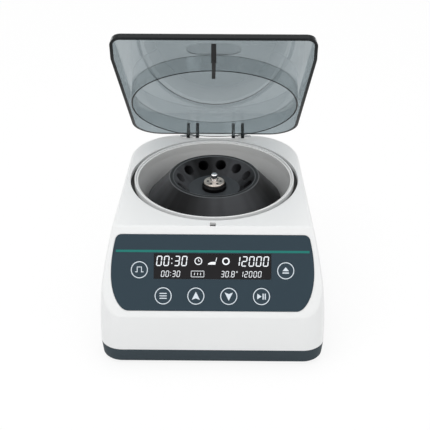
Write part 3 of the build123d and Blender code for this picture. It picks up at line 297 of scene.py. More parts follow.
@dataclass(frozen=True)
class Finish:
    """A surface finish, with the detail that its real material shows."""

    name: str
    colour: Colour
    roughness: float = 0.45
    metallic: float = 0.0
    grain: float = 0.5
    relief: float = 0.01
    drift: float = 0.04
    dust: float = 0.05
    smudge: float = 0.12
    edge: float = 0.35
    # How much lighter the colour is painted along edges, as a painted highlight.
    painted_edge_lift: float = 1.0
    ior: float = 1.5
    specular: float = 0.5

    @cache
    def material(self) -> bpy.types.Material:
        """The material of this finish, made the first time it is asked for.

        Returns:
            The Blender material.
        """
        made = bpy.data.materials.new(self.name + "_finish")
        made.use_nodes = True
        shader = made.node_tree.nodes["Principled BSDF"]
        shader.inputs["Metallic"].default_value = self.metallic
        shader.inputs["IOR"].default_value = self.ior
        shader.inputs["Specular IOR Level"].default_value = self.specular
        self.paint(Graph(made.node_tree), shader)
        return made

    def place(self, graph: Graph) -> Socket:
        """Where a point of the surface is, in metres."""
        return graph.add("TexCoord").outputs["Object"]

    def group(self, graph: Graph, tree: Tree, **values: object) -> Node:
        """Put a shared shader group into this material.

        Args:
            graph: The material's graph.
            tree: The group.
            **values: Values or sockets for its inputs.

        Returns:
            The group's node.
        """
        node = graph.add("Group", node_tree=tree)
        for name, value in values.items():
            graph.feed(node.inputs[name], value)
        return node

    def relief_height(self, graph: Graph, place: Socket, grain: Node) -> Socket:
        """Height of the fine relief: a plain moulding shows the grain as it is."""
        return grain.outputs["Height"]

    def base_colour(self, graph: Graph, place: Socket, grain: Node) -> Socket:
        """Colour before dust and edges, which drifts slowly over the surface."""
        return graph.blend(grain.outputs["Drift"], shade(self.colour, 1.0 - self.drift),
                           shade(self.colour, 1.0 + self.drift))

    def paint(self, graph: Graph, shader: Node) -> None:
        """Build the finish on its shader.

        Args:
            graph: The material's graph.
            shader: The Principled BSDF.
        """
        place = self.place(graph)
        grain = self.group(graph, mould_grain(), Place=place, Grain=self.grain)
        marks = self.group(graph, handling_marks(), Place=place, Amount=self.smudge)
        dust = self.group(graph, settled_dust(), Place=place, Amount=self.dust)
        rounding = self.group(graph, soft_edge(), Radius=mm(self.edge))
        colour = self.base_colour(graph, place, grain)
        # Painted highlight: the colour is made lighter along edges.
        edge_painted_light = graph.blend(rounding.outputs["Edge"], colour, shade(self.colour, self.painted_edge_lift))
        rough = graph.math("ADD", marks.outputs["Mask"], self.roughness - self.smudge / 2)
        bump = graph.add("Bump", {"Height": self.relief_height(graph, place, grain),
                                  "Distance": mm(self.relief),
                                  "Normal": rounding.outputs["Normal"]})
        graph.feed(shader.inputs["Base Color"],
                   graph.blend(dust.outputs["Mask"], edge_painted_light, DUST_COLOUR))
        graph.feed(shader.inputs["Roughness"], graph.math("ADD", rough, dust.outputs["Mask"]))
        graph.feed(shader.inputs["Normal"], bump.outputs[0])


@dataclass(frozen=True)
class TurnedFinish(Finish):
    """Metal or plastic turned about the spindle's axis, with rings from the tool and a painted
    sheen.
    """

    pitch: float = 0.5
    # Strength of the painted sheen in the colour.
    painted_glint: float = 0.12

    def rings(self, graph: Graph, place: Socket) -> Node:
        """The turned_rings node, centred on the spindle."""
        centred = graph.add("Mapping", {"Vector": place, "Location": (-SPIN[0], -SPIN[1], 0.0)})
        return self.group(graph, turned_rings(), Place=centred.outputs[0], Pitch=self.pitch)

    def relief_height(self, graph: Graph, place: Socket, grain: Node) -> Socket:
        """Rings from the tool, over some of the grain."""
        rings, grain_share = self.rings(graph, place), 0.3
        return graph.math("MULTIPLY_ADD", grain.outputs["Height"], grain_share,
                          rings.outputs["Height"])

    def base_colour(self, graph: Graph, place: Socket, grain: Node) -> Socket:
        """Colour made lighter and darker round the axis by the painted sheen."""
        sweep = self.rings(graph, place).outputs["PaintedGlint"]
        return graph.blend(sweep, shade(self.colour, 1.0 - self.painted_glint),
                           shade(self.colour, 1.0 + self.painted_glint))


@dataclass(frozen=True)
class BoardFinish(Finish):
    """Green circuit board with tracks under its solder mask."""

    track_tint: float = 1.7

    def base_colour(self, graph: Graph, place: Socket, grain: Node) -> Socket:
        """Solder mask that shows paler where tracks run under it."""
        tracks = graph.add("TexBrick", {"Vector": place, "Scale": 160.0, "Mortar Size": 0.03})
        return graph.blend(tracks.outputs["Fac"], self.colour,
                           shade(self.colour, self.track_tint))


@dataclass(frozen=True)
class ClearFinish(Finish):
    """Tinted clear plastic: its colour is what light keeps after passing one wall."""

    relief: float = 0.02
    drift: float = 0.05
    smudge: float = 0.25
    ior: float = 1.49
    clarity: float = 0.9
    haze: float = 0.05

    def paint(self, graph: Graph, shader: Node) -> None:
        """Build the clear plastic: a bright skin with faint marks and a slow ripple.

        Args:
            graph: The material's graph.
            shader: The Principled BSDF.
        """
        place = self.place(graph)
        marks = self.group(graph, handling_marks(), Place=place, Amount=self.smudge)
        grain = self.group(graph, mould_grain(), Place=place, Grain=self.grain)
        bump = graph.add("Bump", {"Height": grain.outputs["Drift"], "Distance": mm(self.relief)})
        shader.inputs["Transmission Weight"].default_value = 1.0
        passed = graph.add("LightPath").outputs["Is Shadow Ray"]
        graph.feed(shader.inputs["Alpha"],
                   graph.math("MULTIPLY_ADD", passed, -self.clarity, 1.0))
        graph.feed(shader.inputs["Base Color"], graph.blend(
            marks.outputs["Mask"], self.colour, shade(self.colour, 1.0 - self.drift)))
        rough = graph.add("MapRange", {"Value": marks.outputs["Mask"], "To Min": self.roughness,
                                       "To Max": self.roughness + self.haze})
        graph.feed(shader.inputs["Roughness"], rough.outputs[0])
        graph.feed(shader.inputs["Normal"], bump.outputs[0])


@dataclass(frozen=True)
class LitFinish(Finish):
    """Display segments that hold their own light, and print with a painted glow."""

    strength: float = 0.5

    def paint(self, graph: Graph, shader: Node) -> None:
        """Build the finish with a little light of its own, a painted glow on print.

        Args:
            graph: The material's graph.
            shader: The Principled BSDF.
        """
        super().paint(graph, shader)
        shader.inputs["Emission Color"].default_value = self.colour
        shader.inputs["Emission Strength"].default_value = self.strength


# ---------- places from the solids
def middle(node: str) -> Vector:
    """Centre of a solid's box."""
    low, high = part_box(node)
    return (low + high) / 2


def slope_frame() -> Matrix:
    """Frame of the control face: X right, Y up the slope, Z outwards.

    Returns:
        Matrix whose origin is the middle of the display window's outer face.
    """
    outward = -PRESS.normalized()
    right = Vector((1.0, 0.0, 0.0))
    origin = middle("display_window")
    corners = frame["nodes"]["display_window"].data.vertices
    origin += outward * (max(corner.co.dot(outward) for corner in corners) - origin.dot(outward))
    turned = Matrix((right, outward.cross(right), outward)).transposed().to_4x4()
    return Matrix.Translation(origin) @ turned


def lid_frame() -> Matrix:
    """Frame of the open lid, on the hinge pin: X right, Y to the rear, Z out of its top."""
    return Matrix.Translation(HINGE) @ Matrix.Rotation(-OPEN_ANGLE, 4, "X")


def drawn(*corners: Place) -> Outline:
    """An outline in metres from corners in millimetres."""
    return [(mm(x), mm(y)) for x, y in corners]


def rectangle(left: float, low: float, right: float, high: float) -> Outline:
    """An upright rectangle in metres from its edges in millimetres."""
    return drawn((left, low), (right, low), (right, high), (left, high))


def moved(outline: Outline, centre: Place) -> Outline:
    """The same outline with its origin put at another place."""
    return [(centre[0] + x, centre[1] + y) for x, y in outline]


def pointed_bar(length: float, width: float, upright: bool = False,
                lean: float = 0.0) -> Outline:
    """Outline of a bar with pointed ends round the origin.

    Args:
        length: Its length from point to point.
        width: Its width.
        upright: Whether it stands up.
        lean: How far it leans to the right, as a share of its height.

    Returns:
        The corners in order.
    """
    half, side = length / 2, width / 2
    outline = [(-half, 0.0), (-half + side, -side), (half - side, -side), (half, 0.0),
               (half - side, side), (-half + side, side)]
    if upright:
        outline = [(-y, x) for x, y in outline]
    return [(x + lean * y, y) for x, y in outline]


# ---------- piece making
@dataclass
class Piece:
    """One new piece, drawn with bmesh in a frame of its own and then put on a body.

    Its slot names a material slot of the record and is not used, and its thickness
    is that of the plates, rings and discs that are added to it.
    """

    name: str
    body: str
    slot: str
    finish: Finish
    frame: Matrix = field(default_factory=Matrix)
    thickness: float = mm(0.05)
    mesh: bmesh.types.BMesh = field(default_factory=bmesh.new)

    def plates(self, *outlines: Outline) -> None:
        """Add flat plates on the frame's ground.

        Args:
            *outlines: Corners of each plate, in order.
        """
        for outline in outlines:
            corners = [self.mesh.verts.new((x, y, 0.0)) for x, y in outline]
            self.raise_faces([self.mesh.faces.new(corners)])

    def raise_faces(self, faces: list[bmesh.types.BMFace]) -> None:
        """Extrude faces along the frame's Z axis and keep the underside.

        Args:
            faces: Faces to raise.
        """
        under = bmesh.ops.duplicate(self.mesh, geom=faces)
        raised = bmesh.ops.extrude_face_region(self.mesh, geom=faces)
        bmesh.ops.translate(self.mesh, vec=(0.0, 0.0, self.thickness),
                            verts=[v for v in raised["geom"]
                                   if isinstance(v, bmesh.types.BMVert)])
        bmesh.ops.delete(self.mesh, geom=faces, context="FACES_ONLY")
        bmesh.ops.reverse_faces(self.mesh, faces=[f for f in under["geom"]
                                                  if isinstance(f, bmesh.types.BMFace)])

    def annulus(self, centre: Place, inner: float, outer: float, steps: int = 64) -> None:
        """Add a flat ring.

        Args:
            centre: Middle of the ring.
            inner: Inner radius.
            outer: Outer radius.
            steps: Sides of its circles.
        """
        edges: list[bmesh.types.BMEdge] = []
        for radius in (inner, outer):
            circle = bmesh.ops.create_circle(self.mesh, segments=steps, radius=radius,
                                             matrix=Matrix.Translation((*centre, 0.0)))
            edges += list({edge for vert in circle["verts"] for edge in vert.link_edges})
        self.raise_faces(bmesh.ops.bridge_loops(self.mesh, edges=edges)["faces"])

    def disc(self, centre: Place, radius: float, steps: int) -> None:
        """Add a flat disc.

        Args:
            centre: Middle of the disc.
            radius: Its radius.
            steps: Sides of its circle.
        """
        circle = bmesh.ops.create_circle(self.mesh, cap_ends=True, segments=steps, radius=radius,
                                         matrix=Matrix.Translation((*centre, 0.0)))
        self.raise_faces(list({f for v in circle["verts"] for f in v.link_faces}))

    def done(self) -> bpy.types.Object:
        """Close the piece, put it in place and dress it.

        Returns:
            The finished object.
        """
        merge_distance, smooth_below = 1e-7, radians(35.0)
        bmesh.ops.remove_doubles(self.mesh, verts=self.mesh.verts, dist=merge_distance)
        bmesh.ops.transform(self.mesh, matrix=self.frame, verts=self.mesh.verts)
        bmesh.ops.recalc_face_normals(self.mesh, faces=self.mesh.faces)
        for face in self.mesh.faces:
            face.smooth = True
        for edge in self.mesh.edges:
            edge.smooth = len(edge.link_faces) == 2 and edge.calc_face_angle() < smooth_below
        data = bpy.data.meshes.new(self.name)
        self.mesh.to_mesh(data)
        self.mesh.free()
        piece = bpy.data.objects.new(self.name, data)
        bpy.context.scene.collection.objects.link(piece)
        data.materials.append(self.finish.material())
        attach(piece, self.body)
        log.info("%s: %d faces", self.name, len(data.polygons))
        return piece


@dataclass
class Remade(Piece):
    """A solid's own shape with more than one finish on it, started with the solid's name."""

    others: list[Finish] = field(default_factory=list)

    def __post_init__(self) -> None:
        """Copy the solid's mesh into the piece's frame."""
        merge_distance = 1e-6
        self.node = self.name
        self.name += "_skin"
        self.mesh.from_mesh(frame["nodes"][self.node].data)
        bmesh.ops.remove_doubles(self.mesh, verts=self.mesh.verts, dist=merge_distance)
        bmesh.ops.transform(self.mesh, matrix=self.frame.inverted(), verts=self.mesh.verts)
        self.mesh.normal_update()
        for face in self.mesh.faces:
            face.material_index = 0

    def mark(self, finish: Finish, chosen: Callable[[Vector, Vector], bool]) -> None:
        """Give some faces another finish.

        Args:
            finish: The finish.
            chosen: Says from a face's middle and normal whether it is one of them.
        """
        self.others.append(finish)
        for face in self.mesh.faces:
            if chosen(face.calc_center_median(), face.normal):
                face.material_index = len(self.others)

    def done(self) -> bpy.types.Object:
        """Finish the copy and let it stand for the solid.

        Returns:
            The finished object.
        """
        piece = super().done()
        for finish in self.others:
            piece.data.materials.append(finish.material())
        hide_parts(self.node)
        return piece


def dress(finish: Finish, *nodes: str) -> None:
    """Give solids a finish.

    Args:
        finish: The finish.
        *nodes: Names of the solids.
    """
    for name in nodes:
        data = frame["nodes"][name].data
        data.materials.clear()
        data.materials.append(finish.material())
        log.info("%s wears %s", name, finish.name)


# ---------- sub-assemblies
@dataclass
class Housing:
    """White upper case on its grey base tray, with feet and screws."""

    white: Finish = Finish("housing_white", srgb(232, 233, 233), roughness=0.36, grain=0.9,
                           drift=0.012, smudge=0.08, edge=0.5, dust=0.02)
    grey: Finish = Finish("base_grey", srgb(57, 67, 73), roughness=0.55, grain=0.6, relief=0.03,
                          drift=0.05, edge=0.5, painted_edge_lift=1.25, specular=0.12, dust=0.01)
    rubber: Finish = Finish("foot_rubber", srgb(28, 28, 28), roughness=0.8, relief=0.05,
                            drift=0.1, edge=0.4)
    zinc: Finish = Finish("zinc_screw", srgb(196, 198, 200), roughness=0.34, metallic=1.0,
                          grain=0.25, drift=0.08, edge=0.2)

    def build(self) -> None:
        """Dress the case, the tray, the feet and their screws."""
        dress(self.white, "upper_case", "chamber_collar")
        dress(self.grey, "base_tray")
        dress(self.rubber, "rubber_feet")
        dress(self.zinc, "foot_screws", "case_screws")


@dataclass
class Chamber:
    """Bowl round the rotor, and the rubber seal in its channel."""

    bowl: Finish = Finish("bowl_grey", srgb(224, 224, 223), roughness=0.42, grain=1.2, drift=0.03,
                          smudge=0.1, edge=0.4)
    seal: Finish = Finish("seal_rubber", srgb(24, 24, 25), roughness=0.7, grain=0.4, relief=0.04,
                          drift=0.1, edge=0.4)

    def build(self) -> None:
        """Dress the bowl and the two seals."""
        dress(self.bowl, "chamber_bowl")
        dress(self.seal, "lid_seal", "shaft_seal")


@dataclass
class RotorSet:
    """Rotor with its hub, perforated nut and centre bolt."""

    rim_height: float = mm(0.8)
    floor_high: float = mm(8.0)
    floor_low: float = mm(20.0)
    # Painted shade over the nut's holes: circle, disc radius, thickness, count and sides.
    hole_shade_circle: float = mm(6.6)
    hole_shade_radius: float = mm(1.35)
    hole_shade_height: float = mm(0.03)
    hole_shade_count: int = 6
    hole_shade_sides: int = 20
    # The rotor's colour carries a strong painted sheen: lighter and darker lobes round the
    # spindle.
    body: Finish = TurnedFinish("rotor_anodised", srgb(52, 53, 55), roughness=0.42, specular=0.08,
                                dust=0.005, grain=0.35, relief=0.012, painted_edge_lift=1.5, pitch=0.6,
                                painted_glint=0.75)
    hub: Finish = TurnedFinish("hub_black", srgb(8, 8, 9), specular=0.12, dust=0.0, grain=0.35,
                               edge=0.3, painted_edge_lift=2.0)
    nut: Finish = TurnedFinish("nut_aluminium", srgb(214, 203, 193), roughness=0.3, metallic=1.0,
                               grain=0.3, relief=0.015, edge=0.25, pitch=0.35, painted_glint=0.2)
    rim: Finish = Finish("rotor_rim", srgb(30, 31, 32), roughness=0.4, grain=0.35, specular=0.3,
                         dust=0.0)
    # Lighter colour on the rim's chamfers: a painted highlight along the rotor's rim.
    rim_painted_highlight: Finish = Finish("rotor_rim_painted_highlight", srgb(80, 82, 84), roughness=0.35, grain=0.3,
                              specular=0.3, dust=0.0)
    floor: Finish = Finish("rotor_floor", srgb(56, 59, 62), grain=0.35, specular=0.3, dust=0.0)
    chrome: Finish = Finish("bolt_chrome", srgb(225, 226, 228), roughness=0.12, metallic=1.0,
                            grain=0.3, relief=0.003, drift=0.02, edge=0.3)

    def build(self) -> None:
        """Dress the rotor and what holds it down."""
        level, sloped = 0.99, 0.2
        rotor = Remade("rotor", "spindle", "rotor_grey", self.body)
        rim = max(vertex.co.z for vertex in rotor.mesh.verts) - self.rim_height
        rotor.mark(self.rim, lambda at, way: at.z > rim and way.z > level)
        rotor.mark(self.floor, lambda at, way: way.z > level
                   and self.floor_high < rim - at.z < self.floor_low)
        # Painted highlight on the rim's chamfers.
        rotor.mark(self.rim_painted_highlight, lambda at, way: at.z > rim and sloped < way.z < level)
        rotor.done()
        dress(self.hub, "rotor_hub")
        dress(self.nut, "rotor_nut")
        dress(self.chrome, "rotor_bolt")
        # Painted shade over the nut's holes.
        self.add_hole_shade()

    def add_hole_shade(self) -> None:
        """Add dark discs over the nut's holes: painted shade for the inside of each hole."""
        at = Matrix.Translation((SPIN[0], SPIN[1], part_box("rotor_nut")[1].z))
        shade_discs = Piece("nut_hole_shade", "spindle", "hub_black", self.hub, at, self.hole_shade_height)
        for step in range(self.hole_shade_count):
            turn = 2.0 * pi * step / self.hole_shade_count
            place = (self.hole_shade_circle * cos(turn), self.hole_shade_circle * sin(turn))
            shade_discs.disc(place, self.hole_shade_radius, self.hole_shade_sides)
        shade_discs.done()


@dataclass
class Drive:
    """Motor and spindle under the chamber, on their rubber mounts."""

    casting: Finish = Finish("motor_casting", srgb(168, 170, 172), metallic=0.9, grain=0.8,
                             relief=0.03, drift=0.06, edge=0.4)
    steel: Finish = TurnedFinish("ground_steel", srgb(190, 192, 195), roughness=0.22,
                                 metallic=1.0, grain=0.25, relief=0.005, pitch=0.3)
    copper: Finish = Finish("winding", srgb(176, 98, 52), roughness=0.35, metallic=0.8, grain=0.6,
                            relief=0.06, drift=0.2)
    ferrite: Finish = Finish("magnet", srgb(58, 58, 62), roughness=0.55, grain=0.3, relief=0.03)
    plate: Finish = Finish("plate_zinc", srgb(178, 180, 176), roughness=0.38, metallic=0.9,
                           grain=2.0, drift=0.12)

    def build(self, housing: Housing) -> None:
        """Dress the drive.

        Args:
            housing: The housing, whose rubber and screws the mounts share.
        """
        dress(self.casting, "motor_housing")
        dress(self.steel, "motor_shaft", "motor_bearings")
        dress(self.copper, "motor_stator")
        dress(self.ferrite, "motor_magnets")
        dress(self.plate, "motor_mount", "latch_solenoid")
        dress(housing.rubber, "motor_dampers")
        dress(housing.zinc, "damper_screws")


@dataclass
class Lid:
    """Smoke-tinted lid with its ring, latch tongue and hinge."""

    ceiling: float = mm(12.4)
    crown: float = mm(14.6)
    ring_gap: float = mm(0.05)
    rim_drop: float = mm(0.5)
    front_band: float = mm(8.0)
    ear_reach: float = mm(32.0)
    rear: float = mm(3.9)
    badge_behind_front: float = mm(33.5)
    badge_depth: float = mm(0.1)
    badge_half_length: float = mm(12.2)
    smoke: Finish = ClearFinish("lid_smoke", srgb(152, 162, 166), roughness=0.03)
    ring_smoke: Finish = ClearFinish("ring_smoke", srgb(214, 218, 219), roughness=0.03)
    frosted: Finish = ClearFinish("badge_frost", srgb(132, 142, 146), roughness=0.08, smudge=0.1)
    rim: Finish = Finish("rim_black", srgb(20, 24, 26), roughness=0.25, grain=0.4, relief=0.004,
                         edge=0.4, painted_edge_lift=1.8, specular=0.15, dust=0.0)
    black: Finish = Finish("latch_black", srgb(24, 25, 26), roughness=0.4, grain=0.4, relief=0.02,
                           painted_edge_lift=1.6, specular=0.3)
    pin: Finish = Finish("hinge_steel", srgb(205, 207, 209), roughness=0.2, metallic=1.0,
                         grain=0.25, relief=0.005)

    def build(self) -> None:
        """Dress the lid, its ring, the tongue and the pins."""
        dress(self.black, "latch_tongue", "latch_housing", "lid_switch")
        dress(self.pin, "hinge_pins", "latch_bolt")
        self.add_cover()
        self.add_ring()

    def add_cover(self) -> None:
        """Remake the cover with its dark rim, front edge and ears, and its frosted oval."""
        cover = Remade("lid_cover", "lid", "lid_smoke", self.smoke, lid_frame())
        down, forward, sideways, up = -0.5, -0.6, 0.9, 0.9
        front = min(vertex.co.y for vertex in cover.mesh.verts)
        oval = front + self.badge_behind_front
        cover.mark(self.rim, lambda at, way: way.z < down and at.z < self.ceiling - self.rim_drop)
        cover.mark(self.rim, lambda at, way: way.y < forward and at.y < front + self.front_band)
        cover.mark(self.rim, lambda at, way: at.y > -self.rear
                   or (abs(way.x) > sideways and abs(at.x) < self.ear_reach))
        cover.mark(self.frosted, lambda at, way: way.z > up
                   and at.z < self.crown - self.badge_depth
                   and abs(at.y - oval) < self.badge_half_length)
        cover.done()

    def add_ring(self) -> None:
        """Remake the ring with dark edges at its root and at its free end."""
        ring = Remade("lid_ring", "lid", "lid_smoke", self.ring_smoke, lid_frame())
        edgewise = 0.3
        for vertex in ring.mesh.verts:
            if vertex.co.z > self.ceiling - self.ring_gap:
                vertex.co.z -= self.ring_gap
        ring.mark(self.rim, lambda at, way: abs(way.z) > edgewise)
        ring.done()


class Segment(Enum):
    """Bars of a seven-bar numeral: middle in half widths and half heights, whether upright."""

    TOP = (0.0, 1.0, False)
    MIDDLE = (0.0, 0.0, False)
    BOTTOM = (0.0, -1.0, False)
    UPPER_LEFT = (-1.0, 0.5, True)
    UPPER_RIGHT = (1.0, 0.5, True)
    LOWER_LEFT = (-1.0, -0.5, True)
    LOWER_RIGHT = (1.0, -0.5, True)


UNLIT: dict[str, tuple[Segment, ...]] = {
    "0": (Segment.MIDDLE,),
    "1": (Segment.TOP, Segment.MIDDLE, Segment.BOTTOM, Segment.UPPER_LEFT, Segment.LOWER_LEFT),
    "2": (Segment.UPPER_LEFT, Segment.LOWER_RIGHT),
    "3": (Segment.UPPER_LEFT, Segment.LOWER_LEFT),
    "8": (),
}
NARROW: dict[str, float] = {":": 0.45, ".": 0.3, "1": 0.5}


@dataclass(frozen=True)
class Number:
    """A row of the display's numerals between a left and a right edge."""

    text: str
    left: float
    right: float
    large: bool = False


NUMBERS: tuple[Number, ...] = (
    Number("00:30", mm(-56.2), mm(-24.2), large=True),
    Number("12000", mm(24.4), mm(56.2), large=True),
    Number("00:30", mm(-51.2), mm(-31.4)),
    Number("30.8", mm(7.8), mm(22.4)),
    Number("12000", mm(28.6), mm(48.8)),
)


class Icon(Enum):
    """Mark on a key."""

    PULSE = "key_pulse"
    EJECT = "key_open"
    LINES = "key_menu"
    UP = "key_up"
    DOWN = "key_down"
    RUN = "key_start"


def icon_outlines() -> dict[Icon, list[Outline]]:
    """Plates that each key's mark is made of, round the middle of the key.

    Returns:
        Outlines in metres: a square pulse, a triangle over a bar, three lines, an arrowhead each
        way, and a triangle beside two bars.
    """
    arrow = drawn((0.0, 4.4), (-4.1, -3.8), (0.0, -2.2), (4.1, -3.8))
    line = pointed_bar(mm(7.6), mm(1.0))
    return {
        Icon.PULSE: [drawn((-4.08, -2.4), (-1.7, -2.4), (-1.7, 2.4), (1.7, 2.4), (1.7, -2.4),
                           (4.08, -2.4), (4.08, -1.6), (2.5, -1.6), (2.5, 3.2), (-2.5, 3.2),
                           (-2.5, -1.6), (-4.08, -1.6))],
        Icon.EJECT: [drawn((-3.2, -0.4), (3.2, -0.4), (0.0, 3.6)),
                     rectangle(-3.2, -2.8, 3.2, -1.6)],
        Icon.LINES: [moved(line, (0.0, mm(height))) for height in (-2.4, 0.0, 2.4)],
        Icon.UP: [arrow],
        Icon.DOWN: [[(x, -y) for x, y in reversed(arrow)]],
        Icon.RUN: [drawn((-4.2, -2.9), (0.0, 0.0), (-4.2, 2.9)),
                   rectangle(1.0, -2.9, 2.2, 2.9), rectangle(3.1, -2.9, 4.3, 2.9)],
    }


@dataclass
class ControlFace:
    """Panel with its stripe and display, and the six keys with their marks.

    Drops are distances down the slope from its crease.
    """

    window_drop: float = mm(39.95)
    stripe_drop: float = mm(25.2)
    stripe_half: float = mm(95.6)
    stripe_height: float = mm(2.4)
    ring_outer: float = mm(8.4)
    ring_width: float = mm(0.9)
    top_row_drop: float = mm(34.8)
    low_row_drop: float = mm(47.5)
    big_digit: float = mm(10.2)
    small_digit: float = mm(6.2)
    digit_lean: float = 0.11
    bar_weight: float = 0.1
    bar_gap: float = 0.2
    digit_half_width: float = 0.215
    dot_size: float = 0.12
    dot_rise: float = 0.22
    dot_sides: int = 12
    hand_width: float = mm(0.6)
    sign_line: float = mm(0.5)
    face: Matrix = field(default_factory=slope_frame)
    slate: Finish = Finish("panel_slate", srgb(50, 64, 73), relief=0.012, drift=0.03, smudge=0.1,
                           edge=0.4, painted_edge_lift=1.3, specular=0.1, dust=0.0)
    key_cap: Finish = Finish("key_slate", srgb(51, 65, 74), roughness=0.48, relief=0.015,
                             drift=0.03, edge=0.15, painted_edge_lift=1.3, specular=0.1, dust=0.0)
    glass: Finish = Finish("window_dark", srgb(32, 31, 33), roughness=0.12, grain=0.6,
                           relief=0.002, drift=0.02, smudge=0.06, specular=0.12, dust=0.0)
    teal: Finish = Finish("stripe_teal", srgb(36, 118, 110), drift=0.03, specular=0.15, dust=0.0)
    # The key print glows faintly: a painted glow that makes it read brighter.
    print_painted_glow: Finish = LitFinish("print_painted_glow", srgb(205, 214, 222), roughness=0.5, grain=0.4,
                                    drift=0.02, strength=0.12)
    lit: Finish = LitFinish("digits_lit", srgb(232, 236, 240), roughness=0.5, grain=0.4,
                            relief=0.005, drift=0.01, strength=0.22)

    def build(self) -> None:
        """Dress the panel's solids and add everything printed or lit on them."""
        dress(self.slate, "control_panel")
        dress(self.glass, "display_window")
        dress(self.key_cap, *(icon.value for icon in Icon))
        self.add_stripe()
        self.add_numbers()
        self.add_signs()
        for icon, outlines in icon_outlines().items():
            self.mark_key(icon, outlines)

    def up(self, drop: float) -> float:
        """The Y value in the slope's frame of a drop."""
        return self.window_drop - drop

    def add_stripe(self) -> None:
        """Add the coloured stripe above the display."""
        stripe = Piece("panel_stripe", "housing", "panel_slate", self.teal, self.face)
        x, y = self.stripe_half, self.stripe_height / 2
        centre = (0.0, self.up(self.stripe_drop))
        stripe.plates(moved([(-x, -y), (x, -y), (x, y), (-x, y)], centre))
        stripe.done()

    def numeral(self, piece: Piece, digit: str, centre: Place, height: float) -> None:
        """Add one seven-bar numeral.

        Args:
            piece: The piece that it joins.
            digit: The numeral.
            centre: Its middle.
            height: Its height.
        """
        weight = height * self.bar_weight
        half_wide, half_high = height * self.digit_half_width, (height - weight) / 2
        for segment in Segment:
            if segment in UNLIT[digit]:
                continue
            across, up, upright = segment.value
            rise = up * half_high
            place = (centre[0] + across * half_wide + self.digit_lean * rise, centre[1] + rise)
            length = (half_high if upright else 2 * half_wide) - weight * self.bar_gap
            piece.plates(moved(pointed_bar(length, weight, upright, self.digit_lean), place))

    def number(self, piece: Piece, row: Number) -> None:
        """Add a row of numerals, with its colon or point.

        Args:
            piece: The piece that they join.
            row: The row.
        """
        height = self.big_digit if row.large else self.small_digit
        middle_y = self.up(self.top_row_drop if row.large else self.low_row_drop)
        dot = height * self.dot_size
        widths = [NARROW.get(mark, 1.0) for mark in row.text]
        step = (row.right - row.left) / sum(widths)
        x = row.left
        for mark, width in zip(row.text, widths):
            dots = {":": [-self.dot_rise * height, self.dot_rise * height],
                    ".": [(dot - height) / 2]}.get(mark, [])
            for rise in dots:
                piece.disc((x + width * step / 2, middle_y + rise), dot / 2, self.dot_sides)
            x += width * step
            if not dots:
                self.numeral(piece, mark, (x - step / 2, middle_y), height)

    def add_numbers(self) -> None:
        """Add the lit numerals of the display."""
        lit = Piece("display_digits", "housing", "window_dark", self.lit, self.face)
        for row in NUMBERS:
            self.number(lit, row)
        lit.done()

    def add_signs(self) -> None:
        """Add the display's clock, lid, ring, level and degree signs."""
        top_row, low_row = self.up(self.top_row_drop), self.up(self.low_row_drop)
        clock, level, width = (mm(-14.0), top_row), (mm(-14.7), low_row), self.hand_width
        level_x, level_y = mm(6.3), mm(2.9)
        signs = Piece("display_signs", "housing", "window_dark", self.lit, self.face)
        signs.annulus(clock, mm(2.9), mm(3.8))
        signs.annulus((mm(13.2), top_row), mm(2.4), mm(3.7))
        signs.annulus((mm(24.2), low_row + mm(2.2)), mm(0.4), mm(0.8), steps=20)
        outlines = [
            moved(pointed_bar(mm(2.4), width, upright=True), (clock[0], clock[1] + mm(1.0))),
            moved(pointed_bar(mm(2.2), width), (clock[0] + mm(0.9), clock[1])),
            moved(drawn((-4.4, -3.4), (2.7, -3.4), (3.3, -0.7), (-1.2, -0.7), (-4.4, -2.2)),
                  (0.0, top_row)),
            moved(drawn((2.9, -0.2), (3.6, -0.2), (4.4, 3.6), (3.7, 3.6)), (0.0, top_row)),
        ]
        for side in (-1, 1):
            outlines += [
                moved(pointed_bar(2 * level_x, self.sign_line),
                      (level[0], level[1] + side * level_y)),
                moved(pointed_bar(2 * level_y, self.sign_line, upright=True),
                      (level[0] + side * level_x, level[1])),
            ]
        for x in (mm(-3.0), 0.0, mm(3.0)):
            bar = pointed_bar(mm(2.6), width, True, self.digit_lean)
            outlines.append(moved(bar, (level[0] + x, level[1])))
        signs.plates(*outlines)
        signs.done()

    def mark_key(self, icon: Icon, outlines: list[Outline]) -> None:
        """Add the ring and the mark on one key.

        Args:
            icon: The key's mark.
            outlines: The mark's plates.
        """
        to_face = self.face.inverted()
        place = to_face @ middle(icon.value)
        top = max((to_face @ vertex.co).z for vertex in frame["nodes"][icon.value].data.vertices)
        at = self.face @ Matrix.Translation((place.x, place.y, top))
        mark = Piece(icon.value + "_mark", icon.value, "key_slate", self.print_painted_glow, at)
        mark.annulus((0.0, 0.0), self.ring_outer - self.ring_width, self.ring_outer)
        mark.plates(*outlines)
        mark.done()


@dataclass
class Electronics:
    """Boards, display module and key switches inside the housing."""

    board: Finish = BoardFinish("board_green", srgb(30, 92, 58), roughness=0.4, grain=0.6,
                                relief=0.02, drift=0.08)

    def build(self, housing: Housing, lid: Lid) -> None:
        """Dress the boards and their screws.

        Args:
            housing: The housing, whose screws the boards share.
            lid: The lid, whose black moulding the switches share.
        """
        dress(self.board, "power_supply", "control_board", "display_module", "key_board")
        dress(lid.black, "key_switches")
        dress(housing.zinc, "board_screws", "key_board_screws", "latch_screws")


